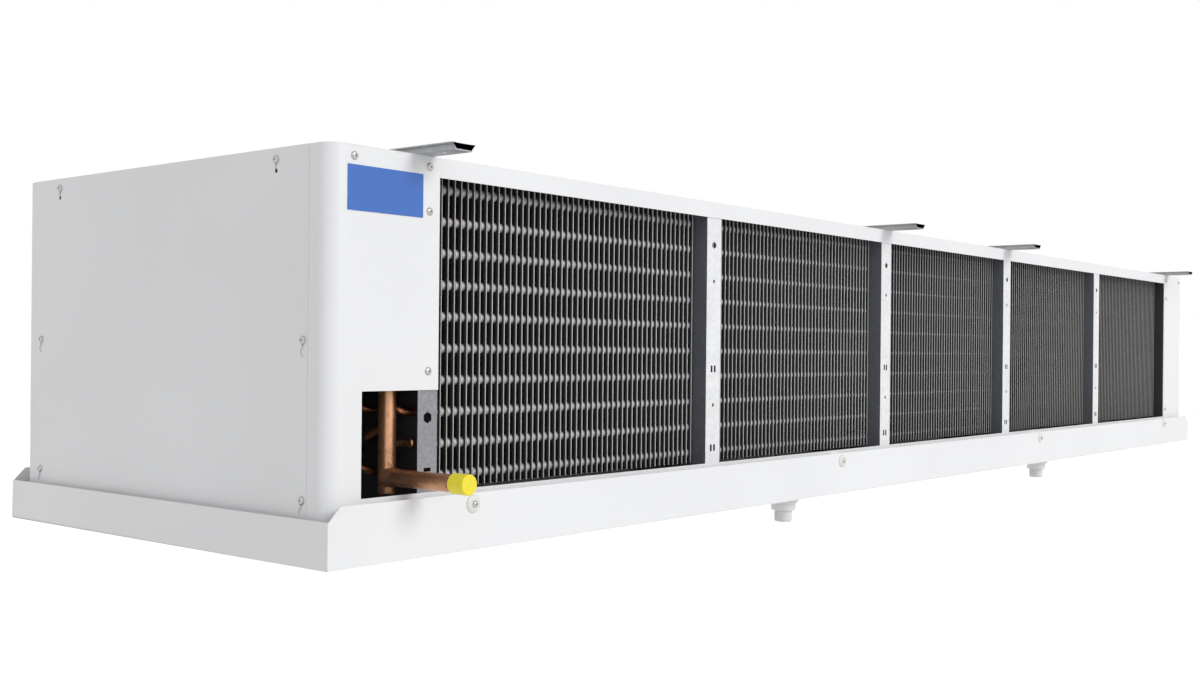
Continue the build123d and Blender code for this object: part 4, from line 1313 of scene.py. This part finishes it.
@dataclass
class Fans:
    """The rear panel, and each bay's nozzle, guard, motor and impeller."""

    nozzle_wall: float = 1.5 * MM
    nozzle_flange: float = 14 * MM
    nozzle_flare: float = 12 * MM
    guard_hub: float = 44 * MM
    stator_depth: float = 18 * MM
    impeller_hub: float = 48 * MM
    rings: int = 10
    ring_wire: float = 1.4 * MM
    arm_wire: float = 2.2 * MM
    arms: int = 8
    blades: int = 5
    blade_steps: int = 8
    chord_steps: int = 8

    def build(self) -> None:
        """Build the rear panel and every fan."""
        centres = [
            Vector(joint["pos_m"]) for joint in frame["joints"]
            if joint["name"].startswith("fan_spin")
        ]
        self.panel(centres)
        self.nozzles(centres)
        self.guards(centres)
        for number, centre in enumerate(centres, start=1):
            self.motor(number, centre)
            self.impeller(number, centre)

    def throat(self) -> float:
        """Give the radius of a nozzle's throat."""
        low, high = loose_boxes("fan_nozzles")[0]
        return (high.x - low.x) / 2 - self.nozzle_flange

    def panel(self, centres: Sequence[Vector]) -> None:
        """Build the rear panel with its round openings."""
        low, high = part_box("fan_panel")
        sides = 96
        opening = self.throat() + self.nozzle_wall + 0.3 * MM
        half = (high.x - low.x) / len(centres) / 2
        shape = Shape()
        for centre in centres:
            outer, inner = [], []
            for side in range(sides):
                turn = 2 * math.pi * (side + 0.5) / sides
                way = Vector((math.cos(turn), 0, math.sin(turn)))
                limits = [half / max(abs(way.x), 1e-9)]
                limits.append(
                    ((high.z if way.z > 0 else low.z) - centre.z) / (way.z or 1e-9)
                )
                outer.append(centre + way * min(limits))
                inner.append(centre + way * opening)
            for x, z in ((-half, low.z), (half, low.z), (half, high.z), (-half, high.z)):
                corner = Vector((centre.x + x, centre.y, z))
                nearest = min(range(sides), key=lambda side: (outer[side] - corner).length)
                outer[nearest] = corner
            rings = []
            for ring, y in ((outer, high.y), (inner, high.y), (inner, low.y), (outer, low.y)):
                rings.append([Vector((point.x, y, point.z)) for point in ring])
            shape.rings(rings, caps=False)
            for first, second in zip(outer, [*outer[1:], outer[0]]):
                x = (first.x + second.x) / 2
                within = low.x + 1 * MM < x < high.x - 1 * MM
                if within and abs(abs(x - centre.x) - half) < 0.01 * MM:
                    continue
                rim = [[Vector((end.x, y, end.z)) for y in (low.y, high.y)] for end in (first, second)]
                shape.rings(rim, closed=False, caps=False)
        shape.object("fan_panel_sheet", [WHITE_COAT], "cabinet", Slot.WHITE_COAT, ["fan_panel"])

    def nozzles(self, centres: Sequence[Vector]) -> None:
        """Build the flared inlet nozzles."""
        low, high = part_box("fan_nozzles")
        wall, throat = self.nozzle_wall, self.throat()
        outer = throat + self.nozzle_flange
        depth = high.y - low.y
        flare = self.nozzle_flare
        inside, outside = [], []
        for step in range(9):
            turn = math.radians(90 * step / 8)
            rise = flare * (1 - math.cos(turn))
            back = flare * math.sin(turn)
            inside.append((throat + rise, depth - flare + back))
            outside.append((throat + wall + rise, min(depth - flare + back, depth)))
        profile = [
            (outer, 0.0), (throat, 0.0), *inside, *reversed(outside),
            (throat + wall, wall), (outer, wall),
        ]
        shape = Shape()
        for centre in centres:
            seat = facing(Vector((centre.x, high.y, centre.z)), FORWARD)
            shape.turned(profile, seat, 96, closed=True)
        shape.object("fan_nozzles_spun", [WHITE_COAT], "cabinet", Slot.WHITE_COAT, ["fan_nozzles"])

    def guards(self, centres: Sequence[Vector]) -> None:
        """Build the wire guards."""
        reach = self.throat() + self.nozzle_flange - 4 * MM
        y_seat, y_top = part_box("fan_guards")[0].y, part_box("fan_guards")[1].y
        hub = self.guard_hub
        ways = [
            (reach - 2 * MM, y_seat + 3 * MM), (reach - 4 * MM, y_seat + 12 * MM),
            (reach - 12 * MM, y_top - 14 * MM), (reach - 26 * MM, y_top - 4.4 * MM),
        ]
        shape = Shape()
        for centre in centres:
            places = [
                (hub + (reach - 26 * MM - hub) * ring / self.rings, y_top - 3 * MM)
                for ring in range(self.rings + 1)
            ]
            for radius, y in [*places, *ways[:3]]:
                circle = [
                    (radius + self.ring_wire * math.cos(turn), self.ring_wire * math.sin(turn))
                    for turn in (2 * math.pi * step / 8 for step in range(8))
                ]
                seat = facing(Vector((centre.x, y, centre.z)), REARWARD)
                shape.turned(circle, seat, 72, closed=True)
            for arm in range(self.arms):
                turn = 2 * math.pi * arm / self.arms
                way = Vector((math.cos(turn), 0, math.sin(turn)))
                path = [
                    Vector((centre.x, y, centre.z)) + way * radius
                    for radius, y in [
                        (hub - 2 * MM, y_top - 5.4 * MM), (reach - 26 * MM, y_top - 5.4 * MM),
                        (reach - 12 * MM, y_top - 15 * MM), (reach - 5 * MM, y_seat + 10 * MM),
                        (reach - 4 * MM, y_seat + self.arm_wire),
                    ]
                ]
                shape.swept(path, self.arm_wire, 8)
        shape.object("fan_guards_wire", [FAN_COAT], "cabinet", Slot.FAN, ["fan_guards"], crease=60.0)

    def motor(self, number: int, centre: Vector) -> None:
        """Build a motor's turned stator and the shaft.

        Args:
            number: The bay.
            centre: The rotor's centre, at the joint.
        """
        low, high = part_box(f"fan_motor_{number}")
        radius = (high.x - low.x) / 2
        depth = self.stator_depth
        seat = facing(Vector((centre.x, high.y, centre.z)), FORWARD)
        shape = Shape()
        shape.turned(
            [(0, 0), (radius * 0.35, 0), (radius * 0.38, 1.2 * MM), (radius * 0.8, 1.2 * MM),
             (radius * 0.86, 0.2 * MM), (radius * 0.97, 0.8 * MM), (radius, 3 * MM),
             (radius, depth - 2 * MM), (radius * 0.97, depth), (6 * MM, depth),
             (6 * MM, high.y - low.y), (0, high.y - low.y)],
            seat, 48,
        )
        shape.object(f"fan_motor_{number}_case", [MOTOR_BLACK], "cabinet", Slot.FAN, [f"fan_motor_{number}"])

    def impeller(self, number: int, centre: Vector) -> None:
        """Build an impeller with twisted sickle blades.

        Args:
            number: The bay.
            centre: The rotor's centre, at the joint.
        """
        low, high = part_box(f"fan_impeller_{number}")
        hub = self.impeller_hub
        tip = high.x - centre.x
        depth = high.y - low.y
        shape = Shape()
        seat = facing(Vector((centre.x, low.y, centre.z)), REARWARD)
        shape.turned(
            [(0, 0), (hub * 0.8, 0), (hub * 0.93, 1.5 * MM), (hub, 6 * MM), (hub, depth),
             (hub - 2.5 * MM, depth), (hub - 3 * MM, 6 * MM), (hub * 0.8, 3 * MM),
             (6.1 * MM, 3 * MM), (0, 3 * MM)],
            seat, 48,
        )
        middle = (low.y + high.y) / 2
        for blade in range(self.blades):
            self.blade(shape, centre, middle, hub - 1 * MM, tip, 2 * math.pi * blade / self.blades)
        shape.object(
            f"fan_impeller_{number}_blades", [BLADE_BLACK], f"fan_{number}", Slot.FAN,
            [f"fan_impeller_{number}"],
        )

    def blade(
        self, shape: Shape, centre: Vector, middle: float, hub: float, tip: float, start: float
    ) -> None:
        """Add one blade to an impeller.

        Args:
            shape: The impeller's shape.
            centre: The rotor's centre.
            middle: The Y of the blade's middle.
            hub: The radius at the blade's root.
            tip: The radius at its tip.
            start: The angle of its root.
        """
        rings = []
        for step in range(self.blade_steps + 1):
            share = step / self.blade_steps
            radius = hub + (tip - hub) * share
            pitch = math.radians(38 - 12 * share)
            chord = (62 + 44 * math.sin(share * math.pi / 2)) * MM
            sweep = math.radians(16) * share**1.6
            ring = []
            for face in (1, -1):
                for column in range(self.chord_steps + 1):
                    run = column / self.chord_steps
                    run = run if face > 0 else 1 - run
                    across = (run - 0.5) * chord
                    camber = 5 * MM * (1 - (2 * run - 1) ** 2)
                    thick = face * (0.35 + 0.9 * math.sin(math.pi * run) ** 0.6) * MM
                    turn = start + sweep + across * math.cos(pitch) / radius
                    y = middle - across * math.sin(pitch) + (camber + thick) * math.cos(pitch)
                    ring.append(Vector((
                        centre.x + radius * math.cos(turn), y, centre.z + radius * math.sin(turn)
                    )))
            rings.append(ring)
        shape.rings(rings)


# ---- Drip tray ----


@dataclass
class DripTray:
    """The hinged tray with its drains, screws and hinge parts."""

    thread_pitch: float = 2.3 * MM
    thread_depth: float = 1.0 * MM
    thread_radius: float = 16.6 * MM
    body_radius: float = 22.25 * MM
    bore_radius: float = 12.5 * MM
    head_radius: float = 4.6 * MM
    head_height: float = 2.8 * MM
    head_seat: float = 3.0 * MM
    shank_radius: float = 3 * MM
    nut_radius: float = 5 * MM
    nut_height: float = 4 * MM

    def build(self) -> None:
        """Build the tray and what it carries."""
        eased_sheet("drip_tray", WHITE_COAT, 0.3 * MM, 1.4 * MM, joined=True)
        for node, ease in (
            ("tray_brackets", 0.2 * MM), ("hinge_brackets", 0.3 * MM), ("hinge_lugs", 0.3 * MM),
        ):
            eased_sheet(node, ZINC, ease)
        self.rosettes()
        self.screws()
        for node in ("left_drain", "right_drain"):
            self.drain(node)

    def rosettes(self) -> None:
        """Build the domed plastic rosettes."""
        shape = Shape()
        for low, high in loose_boxes("tray_rosettes"):
            radius = (high.x - low.x) / 2
            height = high.y - low.y
            centre = (low + high) / 2
            seat = facing(Vector((centre.x, high.y, centre.z)), FORWARD)
            profile = [(0.0, 0.0), (radius * 0.97, 0.0), (radius, 0.5 * MM)]
            for step in range(1, 9):
                turn = math.radians(90 - 90 * step / 8)
                profile.append((
                    radius * 0.4 + radius * 0.6 * math.sin(turn),
                    0.5 * MM + (height - 0.5 * MM) * math.cos(turn),
                ))
            profile.append((0.0, height))
            shape.turned(profile, seat, 48)
        shape.object(
            "tray_rosettes_moulded", [OFF_WHITE], "drip_tray", Slot.ROSETTE, ["tray_rosettes"]
        )

    def screws(self) -> None:
        """Build the tray screws with their nuts."""
        shape = Shape()
        head = Casing(head_radius=self.head_radius, head_height=self.head_height)
        for low, high in loose_boxes("tray_screws"):
            seat = Casing.seat_of(low, high, FORWARD, self.head_seat)
            head.dome(shape, seat)
            end = self.head_seat - (high.y - low.y)
            for radius, start, sides in (
                (self.shank_radius, 0, 20), (self.nut_radius, end + self.nut_height, 6),
            ):
                shape.turned([(0, start), (radius, start), (radius, end), (0, end)], seat, sides)
        shape.object(
            "tray_screws_domes", [STAINLESS, RECESS_PAINTED_SHADE], "drip_tray", Slot.STAINLESS, ["tray_screws"]
        )

    def drain(self, node: str) -> None:
        """Build a drain fitting with a moulded thread.

        Args:
            node: The CAD node.
        """
        low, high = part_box(node)
        centre = (low + high) / 2
        boss = (high.x - low.x) / 2
        height = high.z - low.z
        seat = facing(Vector((centre.x, centre.y, high.z)), DOWN)
        body, thread, bore = self.body_radius, self.thread_radius, self.bore_radius
        profile = [
            (bore, 0.0), (boss - 0.4 * MM, 0.0), (boss, 0.5 * MM), (boss - 0.6 * MM, 2 * MM),
            (body + 2 * MM, 12 * MM), (body, 13.5 * MM), (body, 23 * MM), (body - 1.2 * MM, 25 * MM),
            (thread - 0.6 * MM, 25 * MM),
        ]
        start = 27 * MM
        while start < height - 3.2 * MM:
            profile += [
                (thread - self.thread_depth, start), (thread, start + 0.45 * self.thread_pitch),
                (thread, start + 0.55 * self.thread_pitch),
            ]
            start += self.thread_pitch
        profile += [
            (thread - self.thread_depth, height - 2 * MM), (thread - 1.8 * MM, height - 0.5 * MM),
            (thread - 2.4 * MM, height), (bore, height),
        ]
        shape = Shape()
        shape.turned(profile, seat, 56, closed=True)
        shape.object(f"{node}_moulded", [DRAIN_WHITE], "drip_tray", Slot.DRAIN, [node], crease=50.0)


# ---- Hanger rails ----


@dataclass
class Hangers:
    """The hanger rails and their bolts."""

    def build(self) -> None:
        """Build the rails and their bolts."""
        for number in range(1, 5):
            eased_sheet(f"hanger_rail_{number}", RAIL_ZINC, 0.2 * MM, 1.9 * MM)
        eased_sheet("rail_bolts", STAINLESS, 0.4 * MM)


# ---- Studio ----


@dataclass
class Studio:
    """The camera, the lamps, the pale floor and the white surroundings."""

    camera_place: Vector = field(default_factory=lambda: Vector((-2.6896, -1.5888, -0.2441)))
    heading: float = math.radians(50.65)
    roll: float = math.radians(0.55)
    lens: float = 40.14
    shift_up: float = 0.011
    floor_below: float = 1.6
    ambient: float = 0.56
    floor_glow: float = 0.5

    def build(self) -> None:
        """Set the scene around the object."""
        bpy.context.scene.view_settings.view_transform = "Standard"
        self.camera()
        self.world()
        self.lamps()
        self.floor()

    def camera(self) -> None:
        """Stand the camera at the pipe end, level with the coil."""
        data = bpy.data.cameras.new("camera")
        data.lens = self.lens
        data.sensor_width = 36.0
        data.shift_y = self.shift_up
        data.clip_start, data.clip_end = 0.05, 60.0
        camera = bpy.data.objects.new("camera", data)
        bpy.context.scene.collection.objects.link(camera)
        forward = Vector((math.sin(self.heading), math.cos(self.heading), 0))
        level_right = Vector((forward.y, -forward.x, 0))
        upward = Vector((0, 0, 1))
        right = level_right * math.cos(self.roll) + upward * math.sin(self.roll)
        up = right.cross(forward)
        turn = Matrix((right, up, -forward)).transposed().to_4x4()
        camera.matrix_world = Matrix.Translation(self.camera_place) @ turn
        bpy.context.scene.camera = camera

    def world(self) -> None:
        """Light softly from all round, and show plain white behind and in reflections."""
        world = bpy.data.worlds.new("white surroundings")
        bpy.context.scene.world = world
        world.use_nodes = True
        graph = Graph.of_tree(world.node_tree, "Background")
        graph.feed(graph.shader.inputs["Color"], (1.0, 1.0, 1.0))
        level = graph.seen_directly() * (1.0 - self.ambient) + self.ambient
        graph.feed(graph.shader.inputs["Strength"], level)

    def lamps(self) -> None:
        """Hang the key light in front of the coil and a fill at the pipe end."""
        self.sun("key", Vector((-0.2, 0.9, -0.42)), 1.35, 25)
        self.sun("fill", Vector((0.8, 0.35, -0.5)), 0.25, 40)

    @staticmethod
    def sun(name: str, way: Vector, strength: float, width: float) -> None:
        """Add a soft sun lamp.

        Args:
            name: The lamp's name.
            way: The way its light travels.
            strength: Its strength.
            width: Its angular width in degrees.
        """
        data = bpy.data.lights.new(name, "SUN")
        data.energy = strength
        data.angle = math.radians(width)
        lamp = bpy.data.objects.new(name, data)
        lamp.rotation_mode = "QUATERNION"
        lamp.rotation_quaternion = way.normalized().to_track_quat("-Z", "Y")
        bpy.context.scene.collection.objects.link(lamp)

    def floor(self) -> None:
        """Lay a pale floor below the hanging cooler; it keeps the shadow and shows white."""
        low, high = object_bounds()
        z = low.z - self.floor_below
        mesh = bpy.data.meshes.new("floor")
        reach = 30.0
        corners = [(-reach, -reach, z), (reach, -reach, z), (reach, reach, z), (-reach, reach, z)]
        mesh.from_pydata(corners, [], [(0, 1, 2, 3)])
        floor = bpy.data.objects.new("floor", mesh)
        bpy.context.scene.collection.objects.link(floor)
        graph = Graph("pale floor", (0.82, 0.82, 0.82), 0.9)
        graph.shader.inputs["Emission Strength"].default_value = 1.0
        glow = (self.floor_glow,) * 3
        graph.set(emission_color=graph.blend(graph.seen_directly(), (0.0, 0.0, 0.0), glow))
        mesh.materials.append(graph.material)
        floor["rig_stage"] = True


def main() -> None:
    """Build the looks in order: camera and room, casing, coil, pipes, fans, tray, rails."""
    logging.basicConfig(level=logging.INFO, format="%(name)s %(message)s")
    Studio().build()
    Casing().build()
    coil = Coil()
    coil.build()
    Pipework().build(coil)
    Fans().build()
    DripTray().build()
    Hangers().build()


if __name__ == "__main__":
    main()
